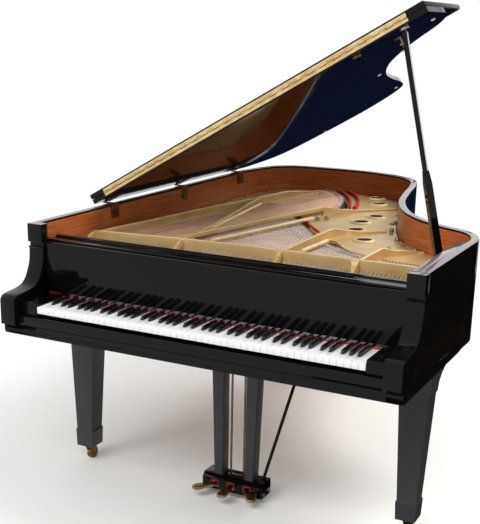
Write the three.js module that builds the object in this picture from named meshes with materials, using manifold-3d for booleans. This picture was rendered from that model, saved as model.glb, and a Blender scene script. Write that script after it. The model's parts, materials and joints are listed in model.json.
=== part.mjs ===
import * as THREE from 'three';
import { mergeVertices } from 'three/addons/utils/BufferGeometryUtils.js';
import Module from 'manifold-3d';

// Grand piano with its lid open on the long prop, in millimetres.
// X runs along the keyboard from bass to treble, Y from the white key fronts to the tail, Z up from the floor.

const wasm = await Module();
wasm.setup();

// Driving dimensions of the case
const tailReach = 2171;
const plainFrontDepth = 521.04;
const plainFrontShare = 0.24;
const armWidth = 61;
const keyBlockWidth = 69;
const armReach = 36;
const casterHeight = 65;
const caseBottom = 620;
const rimTop = 989;
const rimThickness = 30;
const innerRimThickness = 44;
const innerRimBottom = 632;
const innerRimTop = 834;
const outlineSteps = 38;

// Clearances
const seatGap = 0.3;
const runningGap = 0.6;
const cutOverrun = 2;
const weldOverlap = 1;
const vertexTolerance = 1e-4;

// Keyboard
const naturalPitch = 23.5;
const naturalGap = 1;
const naturalCount = 52;
const keyTop = 727.3;
const keyThickness = 23.4;
const naturalHeadLength = 50;
const keyReach = 150;
const keyStickLength = 420;
const sharpWidth = 10;
const sharpRise = 12;
const sharpTailGap = 1.2;
const balanceRailY = 220;
const keyBarDepth = 16;
const sharpStickLength = 300;
const naturalJoinBehind = 20;
const railWidth = 30;
const balanceRailWidth = 8;
const keyDip = 10;

// Key bed, slip and blocks
const keyBedThickness = 37;
const keyBedFrontInset = 16;
const keyBedDepth = 620;
const keyBedCorner = 8;
const keySlipThickness = 14;
const keySlipHeight = 36;
const keySlipGap = 3;
const keyBlockTop = 740;
const keyBlockKnobRadius = 5;
const keyBlockKnobHeight = 6;

// Arms
const armFaceY = 130;
const armBackY = 165;

// Fallboard and the rails behind it
const fallboardThickness = 18;
const fallboardTop = 925;
const fallboardBottom = 745;
const fallboardPivotRise = 25;
const fallboardPivotInset = 3;
const fallboardSideGap = 1.5;
const fallboardPinRadius = 4;
const deskRailThickness = 22;
const deskRailDepths = [26, 52, 24];
const deskRailTops = [931, 925, 930];
const deskRailGap = 7;

// Strings and the plate that holds them
const plateTop = 870;
const plateThickness = 14;
const plateEdgeGap = 4;
const plateBossRadius = 11;
const plateBossStep = 4;
const pinPanelTop = 845;
const pinPanelThickness = 11.7;
const pinPanelFront = 296;
const ribTop = 905;
const ribLowTop = 880;
const ribThickness = 14;
const webThickness = 10;
const steelStringRise = 4.5;
const bassStringRise = 10;
const stringRadius = 0.9;
const bassStringRadius = 2;
const strutClearance = 3.5;
const plateHoleRadius = 31;
const plateCollarRadius = 42;
const plateCollarHeight = 7;
const plateHoleSides = 16;
const gussetReach = 165;
const pinBlockThickness = 28;
const pinBlockDepth = 255;
const pinBlockFront = 300;
const tuningPinRadius = 3.3;
const tuningPinHeight = 28;
const tuningPinRowPitch = 40;
const tuningPinFrontRow = 330;
const tuningPinStripThickness = 2;

// Soundboard
const soundboardThickness = 8;
const soundboardEdgeGap = 1;
const bridgeWidth = 28;
const bridgeClearance = 5;
const soundboardRibDepth = 20;
const soundboardRibWidth = 24;
const bellyRailWidth = 36;
const bellyBassY = 700;
const bellyTrebleY = 612;
const bracingHeight = 110;
const bracingWidth = 60;
const bracingLift = 18;

// Hammers and dampers
const hammerHeadWidth = 9;
const hammerHeadTop = 832;
const hammerHeadDepth = 24;
const hammerShankHeight = 790;
const hammerShankThickness = 8;
const hammerRailY = 475;
const hammerRailDepth = 34;
const hammerBracketShares = [-1, -0.36, 0.14, 0.66, 1];
const damperWidth = 9;
const damperDepth = 30;
const damperHeight = 8;
const damperRailY = 588;
const damperWireRadius = 0.8;
const damperWireInset = 6;

// Lid
const lidOpenAngle = THREE.MathUtils.degToRad(29.85);
const lidThickness = 19;
const lidOverhang = 11.6;
const lidSeatGap = 3;
const lidPinOut = 13.7;
const lidPinRise = 13.1;
const lidFrontY = 551;
const flapLength = 429;
const lidHingeWidth = 50;
const lidHingeReach = 64;
const rearHingeSetIn = 1.6;
const lidHingeLeafThickness = 2.5;
const lidHingeKnuckleRadius = 5;
const knuckleSides = 8;
const lidHingeLeafDrop = 55;
const flapLeafThickness = 1.8;
const flapKnuckleRadius = 3;
const flapKnuckleCount = 8;
const flapAxisInset = 3.1;
const flapLeafReach = 14;
const flapHingeInset = 70;
const flapStackGap = 1.6;
const flapCornerRadius = 22;

// Prop
const propPivotHeight = 945;
const propBaseInset = 26;
const propBaseY = 558;
const propSeatInset = 90;
const propSeatY = 575;
const propFoldShare = new THREE.Vector2(-0.55, 0.835);
const propSleeveWidth = 40;
const propSleeveThickness = 20;
const propSleeveLength = 260;
const propStickWidth = 23;
const propStickThickness = 15;
const propPinRadius = 5;
const propTipLength = 10;
const propTipRadius = 5;
const propBlockBack = 666;
const propCupRadius = 16;
const propCupThickness = 5;
const propCupSides = 14;
const propCupLip = 4;
const propCupClearance = 1.6;
const secondCupInset = 283;
const secondCupY = 592;

// Legs and casters
const legInset = 73.4;
const legFrontY = 333;
const rearLegX = -310;
const rearLegInset = 321;
const footWidth = 70;
const footTopWidth = 77;
const footDepth = 73;
const footHeight = 66;
const footChamfer = 8;
const shaftBottomWidth = 68;
const shaftBottomDepth = 70;
const shaftTopWidth = 104;
const shaftTopDepth = 86;
const legBlockHeight = 91;
const legBlockWidth = 112;
const legBlockFlare = 130;
const wheelRadius = 24;
const wheelWidth = 20;
const wheelSides = 16;
const axleRadius = 4;
const casterTrail = 16;
const casterCheek = 3;
const casterPlateRadius = 26;
const casterPlateThickness = 5;
const casterStemRadius = 11;

// Lyre and pedals
const lyreFrontY = 333;
const lyrePostDepth = 50;
const lyrePostTopX = 72;
const lyrePostTopWidth = 48;
const lyrePostFootX = 63;
const lyrePostFootWidth = 32;
const lyreHeadHalf = 112;
const lyreHeadHeight = 34;
const pedalBoxHalf = 123.5;
const pedalBoxFront = 322;
const pedalBoxDepth = 76;
const pedalBoxBottom = 22;
const pedalBoxTop = 79.5;
const pedalBoxWall = 11;
const pedalBoxBevel = 14;
const pedalPivotY = 350;
const pedalPivotZ = 42;
const pedalPinRadius = 3;
const pedalPinSides = 12;
const pedalThickness = 9;
const pedalLeverWidth = 18;
const pedalToeRadius = 20;
const pedalSlotHeight = 30;
const pedalSlotSide = 4;
const pedalRootXs = [-72, -4, 64];
const pedalTipXs = [-112, -4, 104];
const pedalTipYs = [250, 232, 250];
const rodXs = [-30, 23, 76];
const rodY = 372;
const rodRadius = 4;
const rodTop = 652;
const braceRadius = 6.5;
const braceFoot = new THREE.Vector2(100, 388);
const braceHeadX = 172;
const braceHeadBehindBed = 48;

const keyboardHalf = naturalPitch * naturalCount / 2;
const armInnerHalf = keyboardHalf + keyBlockWidth;
const caseHalfWidth = armInnerHalf + armWidth;
const legCentreX = caseHalfWidth - legInset;
const rearLegY = tailReach - rearLegInset;
const propSeatX = caseHalfWidth - propSeatInset;
const secondCupX = caseHalfWidth - secondCupInset;
const steelStringHeight = plateTop + steelStringRise;
const bassStringHeight = steelStringHeight + bassStringRise;
const legBlockTop = caseBottom - seatGap;
const keyBedBottom = caseBottom;
const keyBedTop = keyBedBottom + keyBedThickness;
const keyBedFrontY = -armReach + keyBedFrontInset;
const keyBedBackY = keyBedFrontY + keyBedDepth;
const braceHead = new THREE.Vector2(braceHeadX, keyBedBackY + braceHeadBehindBed);
const keyBottom = keyTop - keyThickness;
const naturalJoinY = sharpStickLength + naturalJoinBehind;
const soundboardBottom = innerRimTop + seatGap;
const soundboardTop = soundboardBottom + soundboardThickness;
const pinPanelBottom = pinPanelTop - pinPanelThickness;
const pinBlockTop = pinPanelBottom - seatGap;
const pinBlockBottom = pinBlockTop - pinBlockThickness;
const plateBottom = plateTop - plateThickness;
const lidUnderside = rimTop + lidSeatGap;
const lidTop = lidUnderside + lidThickness;
const lidPinX = -(caseHalfWidth + lidPinOut);
const lidPinZ = rimTop + lidPinRise;
const axisX = new THREE.Vector3(1, 0, 0);
const axisY = new THREE.Vector3(0, 1, 0);
const axisZ = new THREE.Vector3(0, 0, 1);

// Colours read from the object
const lacquer = { color: 0x11110f, roughness: 0.12, metalness: 0 };
const mahogany = { color: 0x7c3a1c, roughness: 0.35, metalness: 0 };
const spruce = { color: 0xc89a62, roughness: 0.55, metalness: 0 };
const beech = { color: 0xb98a5a, roughness: 0.6, metalness: 0 };
const goldIron = { color: 0xb08d52, roughness: 0.42, metalness: 0.6 };
const brass = { color: 0xc9a862, roughness: 0.25, metalness: 1 };
const copper = { color: 0xb56f4a, roughness: 0.35, metalness: 1 };
const steel = { color: 0xb9b9bb, roughness: 0.3, metalness: 1 };
const ivory = { color: 0xf4f2ee, roughness: 0.25, metalness: 0 };
const ebony = { color: 0x121212, roughness: 0.2, metalness: 0 };
const felt = { color: 0xe6e0d2, roughness: 0.95, metalness: 0 };
const rubber = { color: 0x2a2522, roughness: 0.8, metalness: 0 };

const piano = new THREE.Group();

function addPart(name, geometry, look, parent = piano) {
  const bare = geometry.index ? geometry.toNonIndexed() : geometry;
  bare.computeVertexNormals();
  const mesh = new THREE.Mesh(bare, new THREE.MeshStandardMaterial(look));
  mesh.name = name;
  parent.add(mesh);
  return mesh;
}

function positionsOnly(geometry) {
  const bare = geometry.index ? geometry.toNonIndexed() : geometry.clone();
  for (const name of Object.keys(bare.attributes)) {
    if (name !== 'position') bare.deleteAttribute(name);
  }
  return bare;
}

function toSolid(geometry) {
  const merged = mergeVertices(positionsOnly(geometry), vertexTolerance);
  return new wasm.Manifold(new wasm.Mesh({
    numProp: 3,
    vertProperties: Float32Array.from(merged.attributes.position.array),
    triVerts: Uint32Array.from(merged.index.array),
  }));
}

function toGeometry(solid) {
  const data = solid.getMesh();
  const geometry = new THREE.BufferGeometry();
  geometry.setAttribute('position', new THREE.BufferAttribute(Float32Array.from(data.vertProperties), 3));
  geometry.setIndex(new THREE.BufferAttribute(Uint32Array.from(data.triVerts), 1));
  return geometry;
}

function join(...pieces) {
  return toGeometry(pieces.map(toSolid).reduce((sum, piece) => sum.add(piece)));
}

function cut(body, ...tools) {
  return toGeometry(tools.map(toSolid).reduce((sum, tool) => sum.subtract(tool), toSolid(body)));
}

function overlap(body, tool) {
  return toGeometry(toSolid(body).intersect(toSolid(tool)));
}

function box(x0, x1, y0, y1, z0, z1) {
  const geometry = new THREE.BoxGeometry(x1 - x0, y1 - y0, z1 - z0);
  return geometry.translate((x0 + x1) / 2, (y0 + y1) / 2, (z0 + z1) / 2);
}

function toShape(points) {
  return new THREE.Shape(points.map(([a, b]) => new THREE.Vector2(a, b)));
}

function slab(points, z0, z1) {
  return new THREE.ExtrudeGeometry(toShape(points), { depth: z1 - z0, bevelEnabled: false }).translate(0, 0, z0);
}

// A profile of [y, z] points, swept along X
function sideProfile(points, x0, x1) {
  const geometry = new THREE.ExtrudeGeometry(toShape(points), { depth: x1 - x0, bevelEnabled: false });
  geometry.applyMatrix4(new THREE.Matrix4().makeBasis(axisY, axisZ, axisX));
  return geometry.translate(x0, 0, 0);
}

// A box with a smaller or larger top, both centred on a plan point
function tapered(x, y, bottom, top, z0, z1) {
  const geometry = new THREE.BoxGeometry(1, 1, 1);
  const place = geometry.attributes.position;
  for (let i = 0; i < place.count; i += 1) {
    const end = place.getZ(i) > 0 ? top : bottom;
    place.setXYZ(i, x + end.x + place.getX(i) * end.width, y + end.y + place.getY(i) * end.depth,
      place.getZ(i) > 0 ? z1 : z0);
  }
  return geometry;
}

function rodBetween(from, to, radius, sides) {
  const along = new THREE.Vector3().subVectors(to, from);
  const geometry = new THREE.CylinderGeometry(radius, radius, along.length(), sides);
  geometry.applyQuaternion(new THREE.Quaternion().setFromUnitVectors(axisY, along.clone().normalize()));
  return geometry.translate(...new THREE.Vector3().addVectors(from, to).divideScalar(2).toArray());
}

function upright(x, y, z0, z1, radius, sides) {
  return rodBetween(new THREE.Vector3(x, y, z0), new THREE.Vector3(x, y, z1), radius, sides);
}

function crosswise(x0, x1, y, z, radius, sides) {
  return rodBetween(new THREE.Vector3(x0, y, z), new THREE.Vector3(x1, y, z), radius, sides);
}

// A wall along a plan line, whose top may slope from one end to the other
function wall(from, to, width, z0, topFrom, topTo = topFrom) {
  const run = new THREE.Vector2().subVectors(to, from);
  const profile = [[0, z0], [run.length(), z0], [run.length(), topTo], [0, topFrom]];
  const geometry = new THREE.ExtrudeGeometry(toShape(profile), { depth: width, bevelEnabled: false });
  geometry.translate(0, 0, -width / 2);
  geometry.rotateX(Math.PI / 2);
  geometry.rotateZ(run.angle());
  return geometry.translate(from.x, from.y, 0);
}

function wallAlong(points, width, z0, tops) {
  const walls = points.slice(1).map((point, i) => wall(points[i], point, width, z0, tops[i], tops[i + 1]));
  const posts = points.slice(1, -1).map((point, i) => upright(point.x, point.y, z0, tops[i + 1], width / 2, 6));
  return join(...walls, ...posts);
}

// Plan points are shares of the half width and of the tail's reach, and the case's front keeps its own depth
const planPoint = ([x, y]) => new THREE.Vector2(x * caseHalfWidth,
  plainFrontDepth + (tailReach - plainFrontDepth) * (y - plainFrontShare) / (1 - plainFrontShare));

// Case outline, from bass to treble round the tail
const outlineShares = [
  [-1, 0.66], [-1, 0.76], [-0.997, 0.838], [-0.941, 0.926], [-0.856, 0.972], [-0.698, 0.992], [-0.457, 1],
  [-0.204, 0.9945], [0.001, 0.967], [0.14, 0.921], [0.2146, 0.8434], [0.274, 0.7407], [0.359, 0.626],
  [0.505, 0.52], [0.7085, 0.4477], [0.912, 0.4044], [0.993, 0.3533], [1, 0.2962], [1, 0.24],
];
const outlineCurve = new THREE.CatmullRomCurve3(
  outlineShares.map(planPoint).map(({ x, y }) => new THREE.Vector3(x, y, 0)), false, 'catmullrom', 0.5);
const outlineSamples = outlineCurve.getSpacedPoints(outlineSteps);

function distanceToOutline(point) {
  const nearest = new THREE.Vector3();
  const lines = outlineSamples.slice(1).map((sample, i) => new THREE.Line3(outlineSamples[i], sample));
  return Math.min(...lines.map((line) => line.closestPointToPoint(point, true, nearest).distanceTo(point)));
}

// The outline moved inwards, with its straight sides starting at frontY; a negative inset moves it outwards
function outline(inset, frontY) {
  const moved = outlineSamples.map((sample, i) => {
    const before = outlineSamples[Math.max(i - 1, 0)];
    const after = outlineSamples[Math.min(i + 1, outlineSteps)];
    const along = new THREE.Vector3().subVectors(after, before).normalize();
    return new THREE.Vector3(sample.x + along.y * inset, sample.y - along.x * inset, 0);
  });
  const kept = moved.filter((point) => point.y > frontY + seatGap
    && distanceToOutline(point) > Math.abs(inset) - seatGap);
  const halfWidth = caseHalfWidth - inset;
  return [[-halfWidth, frontY], ...kept.map((point) => [point.x, point.y]), [halfWidth, frontY]];
}

function rimBand(outerInset, innerInset, frontY, z0, z1) {
  return slab([...outline(outerInset, frontY), ...outline(innerInset, frontY).reverse()], z0, z1);
}

// Rim with its two arms
function buildRim() {
  const band = rimBand(0, rimThickness, armBackY - weldOverlap, caseBottom, rimTop);
  const armHeight = rimTop - keyBedTop;
  const armRun = armBackY + armReach;
  const armShares = [
    [0, 0.06], [0, 0.26], [0.025, 0.29], [0.09, 0.315], [0.2, 0.325], [0.41, 0.337], [0.58, 0.36], [0.69, 0.41],
    [0.76, 0.475], [0.81, 0.54], [0.835, 0.6], [0.84, 0.74], [0.82, 0.79], [0.82, 0.815],
  ];
  const profile = [
    [-armReach, keyBedTop + seatGap],
    ...armShares.slice(1).map(([run, rise]) => [-armReach + run * armRun, keyBedTop + rise * armHeight]),
    [armFaceY, rimTop], [armBackY, rimTop], [armBackY, keyBedTop + seatGap],
  ];
  const bedRecess = box(-caseHalfWidth - cutOverrun, caseHalfWidth + cutOverrun, armBackY - weldOverlap - cutOverrun,
    keyBedBackY + seatGap, caseBottom - cutOverrun, keyBedTop + seatGap);
  return join(cut(band, bedRecess), sideProfile(profile, armInnerHalf, caseHalfWidth),
    sideProfile(profile, -caseHalfWidth, -armInnerHalf));
}

// Belly rail line, from bass to treble
const bellyBass = new THREE.Vector2(-caseHalfWidth + rimThickness + innerRimThickness, bellyBassY);
const bellyTreble = new THREE.Vector2(caseHalfWidth - rimThickness - innerRimThickness, bellyTrebleY);
const innerRimInset = rimThickness + seatGap + innerRimThickness;

function insideRim(inset, z0, z1) {
  const side = inset - innerRimInset;
  const bass = [bellyBass.x + side, bellyBass.y + bellyRailWidth / 2];
  const treble = [bellyTreble.x - side, bellyTreble.y + bellyRailWidth / 2];
  const back = outline(inset, treble[1]).slice(1, -1);
  return slab([[-caseHalfWidth + inset, bass[1]], ...back, [caseHalfWidth - inset, treble[1]]], z0, z1);
}

function buildInnerRim() {
  const bedBack = keyBedBackY + seatGap;
  const band = rimBand(rimThickness + seatGap, innerRimInset, pinBlockFront, innerRimBottom, innerRimTop);
  const rail = wall(bellyBass, bellyTreble, bellyRailWidth, innerRimBottom, innerRimTop);
  const blockSeat = box(-caseHalfWidth, caseHalfWidth, pinBlockFront - cutOverrun,
    webLine[3].y + webThickness, pinBlockBottom - seatGap, innerRimTop + cutOverrun);
  const bedSeat = box(-caseHalfWidth, caseHalfWidth, pinBlockFront - cutOverrun, bedBack,
    innerRimBottom - cutOverrun, keyBedTop + seatGap);
  return cut(join(band, rail), blockSeat, bedSeat);
}

// Beams under the soundboard
const beamShares = [[[-0.5, 0.3], [-0.55, 0.99]], [[0, 0.3], [-0.24, 0.995]], [[0.45, 0.28], [0.02, 0.96]],
  [[-1, 0.52], [0.6, 0.56]]];

function buildBraces() {
  const beams = beamShares.map(([from, to]) => wall(planPoint(from), planPoint(to), bracingWidth,
    innerRimBottom + bracingLift, innerRimBottom + bracingLift + bracingHeight));
  const inside = insideRim(innerRimInset + seatGap, innerRimBottom, innerRimTop);
  const clearOfBelly = wall(bellyBass, bellyTreble, bellyRailWidth + 2 * seatGap, innerRimBottom, innerRimTop);
  const legPlate = box(rearLegX - legBlockWidth, rearLegX + legBlockWidth, rearLegY - footDepth,
    rearLegY + legBlockFlare, innerRimBottom, innerRimBottom + bracingLift + weldOverlap);
  return join(cut(overlap(join(...beams), inside), clearOfBelly), legPlate);
}

const soundboardRibShares = [0.41, 0.49, 0.57, 0.65, 0.73, 0.81, 0.89];
const soundboardRibTiltShare = 0.06;

function soundboardRibs() {
  const top = soundboardBottom + weldOverlap;
  const inside = insideRim(innerRimInset + seatGap, soundboardBottom - soundboardRibDepth, top);
  const ribs = soundboardRibShares.map((share) => wall(
    planPoint([-1, share - soundboardRibTiltShare]), planPoint([1, share]),
    soundboardRibWidth, soundboardBottom - soundboardRibDepth - cutOverrun, top + cutOverrun));
  const clearOfBelly = wall(bellyBass, bellyTreble, bellyRailWidth + 2 * seatGap, innerRimBottom, soundboardBottom);
  return cut(overlap(join(...ribs), inside), clearOfBelly);
}

// Plate plan: shares of the half width and of the tail's reach
const webShares = [[-0.951, 0.225], [-0.464, 0.2515], [-0.1525, 0.2602], [0.951, 0.2616]];
const webLine = webShares.map(planPoint);
const bassRibShares = [[-0.938, 0.229], [-0.86, 0.4316], [-0.827, 0.534], [-0.723, 0.738], [-0.694, 0.802],
  [-0.623, 0.928], [-0.585, 0.968]];
const strutOneShares = [[-0.47, 0.262], [-0.503, 0.35], [-0.609, 0.543], [-0.723, 0.738]];
const strutTwoShares = [[-0.52, 0.256], [-0.455, 0.36], [-0.232, 0.6965]];
const strutTwoTailShares = [[-0.232, 0.6965], [-0.178, 0.715], [-0.128, 0.721], [-0.065, 0.768], [0.107, 0.837]];
const strutThreeShares = [[0.084, 0.262], [0.078, 0.341], [0.078, 0.47], [0.085, 0.487]];
const strutThreeTailShares = [[0.085, 0.487], [0.12, 0.516], [0.157, 0.524], [0.25, 0.572], [0.294, 0.586]];
const strutFourShares = [[0.487, 0.262], [0.49, 0.373]];
const strutFourTailShares = [[0.49, 0.373], [0.521, 0.387], [0.603, 0.427], [0.65, 0.44]];
const frontOpeningShares = [
  [-0.905, 0.262], [-0.825, 0.43], [-0.79, 0.53], [-0.69, 0.73], [-0.672, 0.765], [-0.46, 0.71], [-0.205, 0.607],
  [-0.115, 0.54], [-0.02, 0.497], [0.05, 0.463], [0.054, 0.35], [0.058, 0.27], [-0.15, 0.27], [-0.45, 0.262],
];
const tailOpeningShares = [
  [-0.648, 0.815], [-0.59, 0.92], [-0.545, 0.962], [-0.46, 0.962], [-0.356, 0.926], [-0.242, 0.852],
  [-0.155, 0.777], [-0.2, 0.728], [-0.262, 0.7], [-0.45, 0.768],
];
const trebleOpeningShares = [
  [0.105, 0.27], [0.102, 0.35], [0.102, 0.46], [0.148, 0.455], [0.243, 0.41], [0.382, 0.359], [0.465, 0.338],
  [0.465, 0.27],
];
const topOpeningShares = [[0.515, 0.27], [0.515, 0.335], [0.7, 0.322], [0.89, 0.314], [0.89, 0.27]];
const plateHoleShares = [[-0.151, 0.953], [-0.06, 0.8816], [0.08, 0.7287], [0.065, 0.6545], [0.124, 0.573],
  [0.269, 0.488]];

const gussetPoints = [webLine[0], webLine[1], planPoint(strutThreeShares[0]), planPoint(strutFourShares[0])];

function opening(shares) {
  const points = shares.map(planPoint).map((point) => [point.x, point.y]);
  return slab(points, plateBottom - cutOverrun, plateTop + cutOverrun);
}

function ribTops(count, last = ribTop) {
  return Array.from({ length: count }, (_, i) => (i === count - 1 ? last : ribTop));
}

function buildPlate() {
  const webBack = webLine.map((point) => [point.x, point.y]);
  const edge = outline(rimThickness + plateEdgeGap, webLine[3].y).slice(1, -1);
  const half = caseHalfWidth - rimThickness - plateEdgeGap;
  const deck = cut(
    slab([[-half, webBack[0][1]], ...edge, [half, webBack[3][1]], ...webBack.slice().reverse()],
      plateBottom, plateTop),
    opening(frontOpeningShares), opening(tailOpeningShares), opening(trebleOpeningShares),
    opening(topOpeningShares));
  const bosses = outline(rimThickness + plateEdgeGap + 2 * plateBossRadius, bellyBassY + bellyRailWidth)
    .filter((point, i) => i % plateBossStep === 0)
    .map(([x, y]) => upright(x, y, soundboardTop + seatGap, plateBottom + weldOverlap, plateBossRadius, 6));
  const panel = slab([[-half, pinPanelFront], [half, pinPanelFront], [half, webBack[3][1]],
    ...webBack.slice().reverse(), [-half, webBack[0][1]]], pinPanelBottom, pinPanelTop);
  const web = wallAlong([new THREE.Vector2(-half, webLine[0].y), ...webLine, new THREE.Vector2(half, webLine[3].y)],
    webThickness, pinPanelBottom, [plateTop, ribTop, ribTop, ribTop, ribTop, plateTop]);
  const deckRib = (shares, tops) => wallAlong(shares.map(planPoint), ribThickness, plateTop - weldOverlap, tops);
  const lowTops = (count) => [ribTop, ribTop - ribThickness, ...Array(count - 2).fill(ribLowTop)];
  const ribs = [
    deckRib(bassRibShares, [...ribTops(6), ribLowTop]),
    wallAlong(strutOneShares.map(planPoint), ribThickness, bassStringHeight + strutClearance, ribTops(4)),
    wallAlong(strutTwoShares.map(planPoint), ribThickness, bassStringHeight + strutClearance, ribTops(3)),
    deckRib(strutTwoTailShares, lowTops(5)),
    deckRib(strutThreeShares, ribTops(4)),
    deckRib(strutThreeTailShares, lowTops(5)),
    deckRib(strutFourShares, ribTops(2)),
    deckRib(strutFourTailShares, lowTops(4)),
  ];
  const gussets = gussetPoints.map(
    ({ x, y }) => sideProfile([[y, pinPanelTop - weldOverlap], [y, ribTop - weldOverlap],
      [y - gussetReach * 0.35, ribTop - ribThickness], [y - gussetReach * 0.8, plateTop],
      [y - gussetReach, pinPanelTop - weldOverlap]], x - webThickness / 2, x + webThickness / 2));
  const holes = plateHoleShares.map(planPoint);
  const collars = holes.map(({ x, y }) => upright(x, y, plateTop - weldOverlap, plateTop + plateCollarHeight,
    plateCollarRadius, plateHoleSides));
  const bores = holes.map(({ x, y }) => upright(x, y, plateBottom - cutOverrun,
    plateTop + plateCollarHeight + cutOverrun, plateHoleRadius, plateHoleSides));
  const channels = [
    bridge(longBridge, longBridgeSteps, bridgeWidth + 2 * bridgeClearance, steelStringHeight, soundboardTop),
    bridge(bassBridge, bassBridgeSteps, bridgeWidth + 2 * bridgeClearance, bassStringHeight, soundboardTop),
  ];
  return cut(join(deck, panel, web, ...ribs, ...gussets, ...collars, ...bosses), ...bores, ...channels,
    stringBar(false, seatGap));
}

// Bridges
const longBridgeShares = [[-0.6, 0.765], [-0.45, 0.66], [-0.3, 0.585], [-0.142, 0.51], [-0.066, 0.474],
  [0.005, 0.44], [0.1, 0.4], [0.2, 0.373], [0.335, 0.342], [0.475, 0.319], [0.66, 0.3065], [0.88, 0.3]];
const bassBridgeShares = [[-0.57, 0.952], [-0.5, 0.937], [-0.42, 0.904], [-0.304, 0.838], [-0.215, 0.737]];
const toCurve = (shares) => new THREE.CatmullRomCurve3(
  shares.map(planPoint).map(({ x, y }) => new THREE.Vector3(x, y, 0)), false, 'catmullrom', 0.5);
const longBridge = toCurve(longBridgeShares);
const bassBridge = toCurve(bassBridgeShares);
const longBridgeSteps = 20;
const bassBridgeSteps = 8;

// A strip along a bridge's curve
function bridge(curve, steps, width, top, bottom = soundboardTop - weldOverlap) {
  const overrun = (width - bridgeWidth) / 2;
  const points = curve.getSpacedPoints(steps);
  points[0].addScaledVector(curve.getTangentAt(0), -overrun);
  points[steps].addScaledVector(curve.getTangentAt(1), overrun);
  const sides = [1, -1].map((side) => points.map((point, i) => {
    const along = curve.getTangentAt(i / steps);
    return [point.x - along.y * side * width / 2, point.y + along.x * side * width / 2];
  }));
  return slab([...sides[0].reverse(), ...sides[1]], bottom, top);
}

function buildSoundboard() {
  return join(insideRim(rimThickness + soundboardEdgeGap, soundboardBottom, soundboardTop), soundboardRibs(),
    bridge(longBridge, longBridgeSteps, bridgeWidth, steelStringHeight - stringRadius - seatGap),
    bridge(bassBridge, bassBridgeSteps, bridgeWidth, bassStringHeight - bassStringRadius - seatGap));
}

// One entry per note: where its string leaves the web and where it crosses the bridge
const bassNoteCount = 20;
const undampedNoteCount = 20;
const bassBridgeSpan = [0.03, 0.9];
const bassWebShares = [-0.862, -0.556];
const steelSections = [
  { noteCount: 30, webShares: [-0.434, 0.048], bridgeShares: [0.03, 0.565] },
  { noteCount: 21, webShares: [0.115, 0.457], bridgeShares: [0.6, 0.803] },
  { noteCount: 17, webShares: [0.52, 0.868], bridgeShares: [0.832, 0.985] },
];
const stringFromWeb = webThickness / 2 + seatGap;
const stringTailLength = 42;
const stringBarDepth = 8;
const stringBarRise = 6;

function webAt(x) {
  const next = webLine.findIndex((point, i) => i > 0 && x <= point.x);
  const from = webLine[next - 1];
  const to = webLine[next];
  return from.y + (to.y - from.y) * (x - from.x) / (to.x - from.x);
}

function noteList() {
  const notes = [];
  for (let i = 0; i < bassNoteCount; i += 1) {
    const share = i / (bassNoteCount - 1);
    notes.push({ bass: true, x: caseHalfWidth * THREE.MathUtils.lerp(...bassWebShares, share),
      target: bassBridge.getPointAt(THREE.MathUtils.lerp(...bassBridgeSpan, share)) });
  }
  for (const section of steelSections) {
    for (let i = 0; i < section.noteCount; i += 1) {
      const share = i / (section.noteCount - 1);
      notes.push({ bass: false, x: caseHalfWidth * THREE.MathUtils.lerp(...section.webShares, share),
        target: longBridge.getPointAt(THREE.MathUtils.lerp(...section.bridgeShares, share)) });
    }
  }
  return notes;
}

const notes = noteList();
const sectionCounts = [bassNoteCount, ...steelSections.map((section) => section.noteCount)];
const sectionRanges = sectionCounts.map((count, i) => {
  const start = sectionCounts.slice(0, i).reduce((sum, held) => sum + held, 0);
  return [start, start + count];
});

const stringBarRun = (bass) => {
  const held = notes.filter((note) => note.bass === bass);
  const xs = [held[0].x - stringBarDepth, held[held.length - 1].x + stringBarDepth];
  const inner = webLine.filter((point) => point.x > xs[0] && point.x < xs[1]).map((point) => point.x);
  return [xs[0], ...inner, xs[1]].map((x) => new THREE.Vector2(x, webAt(x) + stringFromWeb + stringBarDepth / 2));
};

// The bar behind the web that holds down the strings of one set, thickened by a clearance where it passes a strut
function stringBar(bass, clearance) {
  const height = (bass ? bassStringHeight : steelStringHeight) + stringBarRise / 2;
  const run = stringBarRun(bass);
  return wallAlong(run, stringBarDepth + 2 * clearance, height - stringBarRise - clearance,
    run.map(() => height + clearance));
}

// Strings from the bar behind the web to the hitch line
function buildStrings(bass) {
  const height = bass ? bassStringHeight : steelStringHeight;
  const radius = bass ? bassStringRadius : stringRadius;
  const strings = notes.filter((note) => note.bass === bass).map((note) => {
    const start = new THREE.Vector3(note.x, webAt(note.x) + stringFromWeb + stringBarDepth / 2, height);
    const end = new THREE.Vector3(note.target.x, note.target.y, height);
    end.add(new THREE.Vector3().subVectors(end, start).setLength(stringTailLength));
    return rodBetween(start, end, radius, 3);
  });
  return join(stringBar(bass, 0), ...strings);
}

// Tuning pins on the strip that carries them, notched round the plate's gussets
function buildTuningPins() {
  const low = pinPanelTop + seatGap;
  const reach = Math.abs(notes[0].x) + 2 * tuningPinRadius;
  const back = tuningPinFrontRow + tuningPinRowPitch * 2.5 + 2 * tuningPinRadius;
  const strip = box(-reach, reach, tuningPinFrontRow - 2 * tuningPinRadius, back, low, low + tuningPinStripThickness);
  const notches = gussetPoints.slice(1).map(({ x, y }) => box(x - webThickness / 2 - seatGap,
    x + webThickness / 2 + seatGap, y - gussetReach - seatGap, back + cutOverrun, low - cutOverrun,
    low + tuningPinStripThickness + cutOverrun));
  const pins = notes.map((note, i) => upright(note.x, tuningPinFrontRow + tuningPinRowPitch * (i % 3), low,
    low + tuningPinHeight, tuningPinRadius, 3));
  return join(cut(strip, ...notches), ...pins);
}

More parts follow.
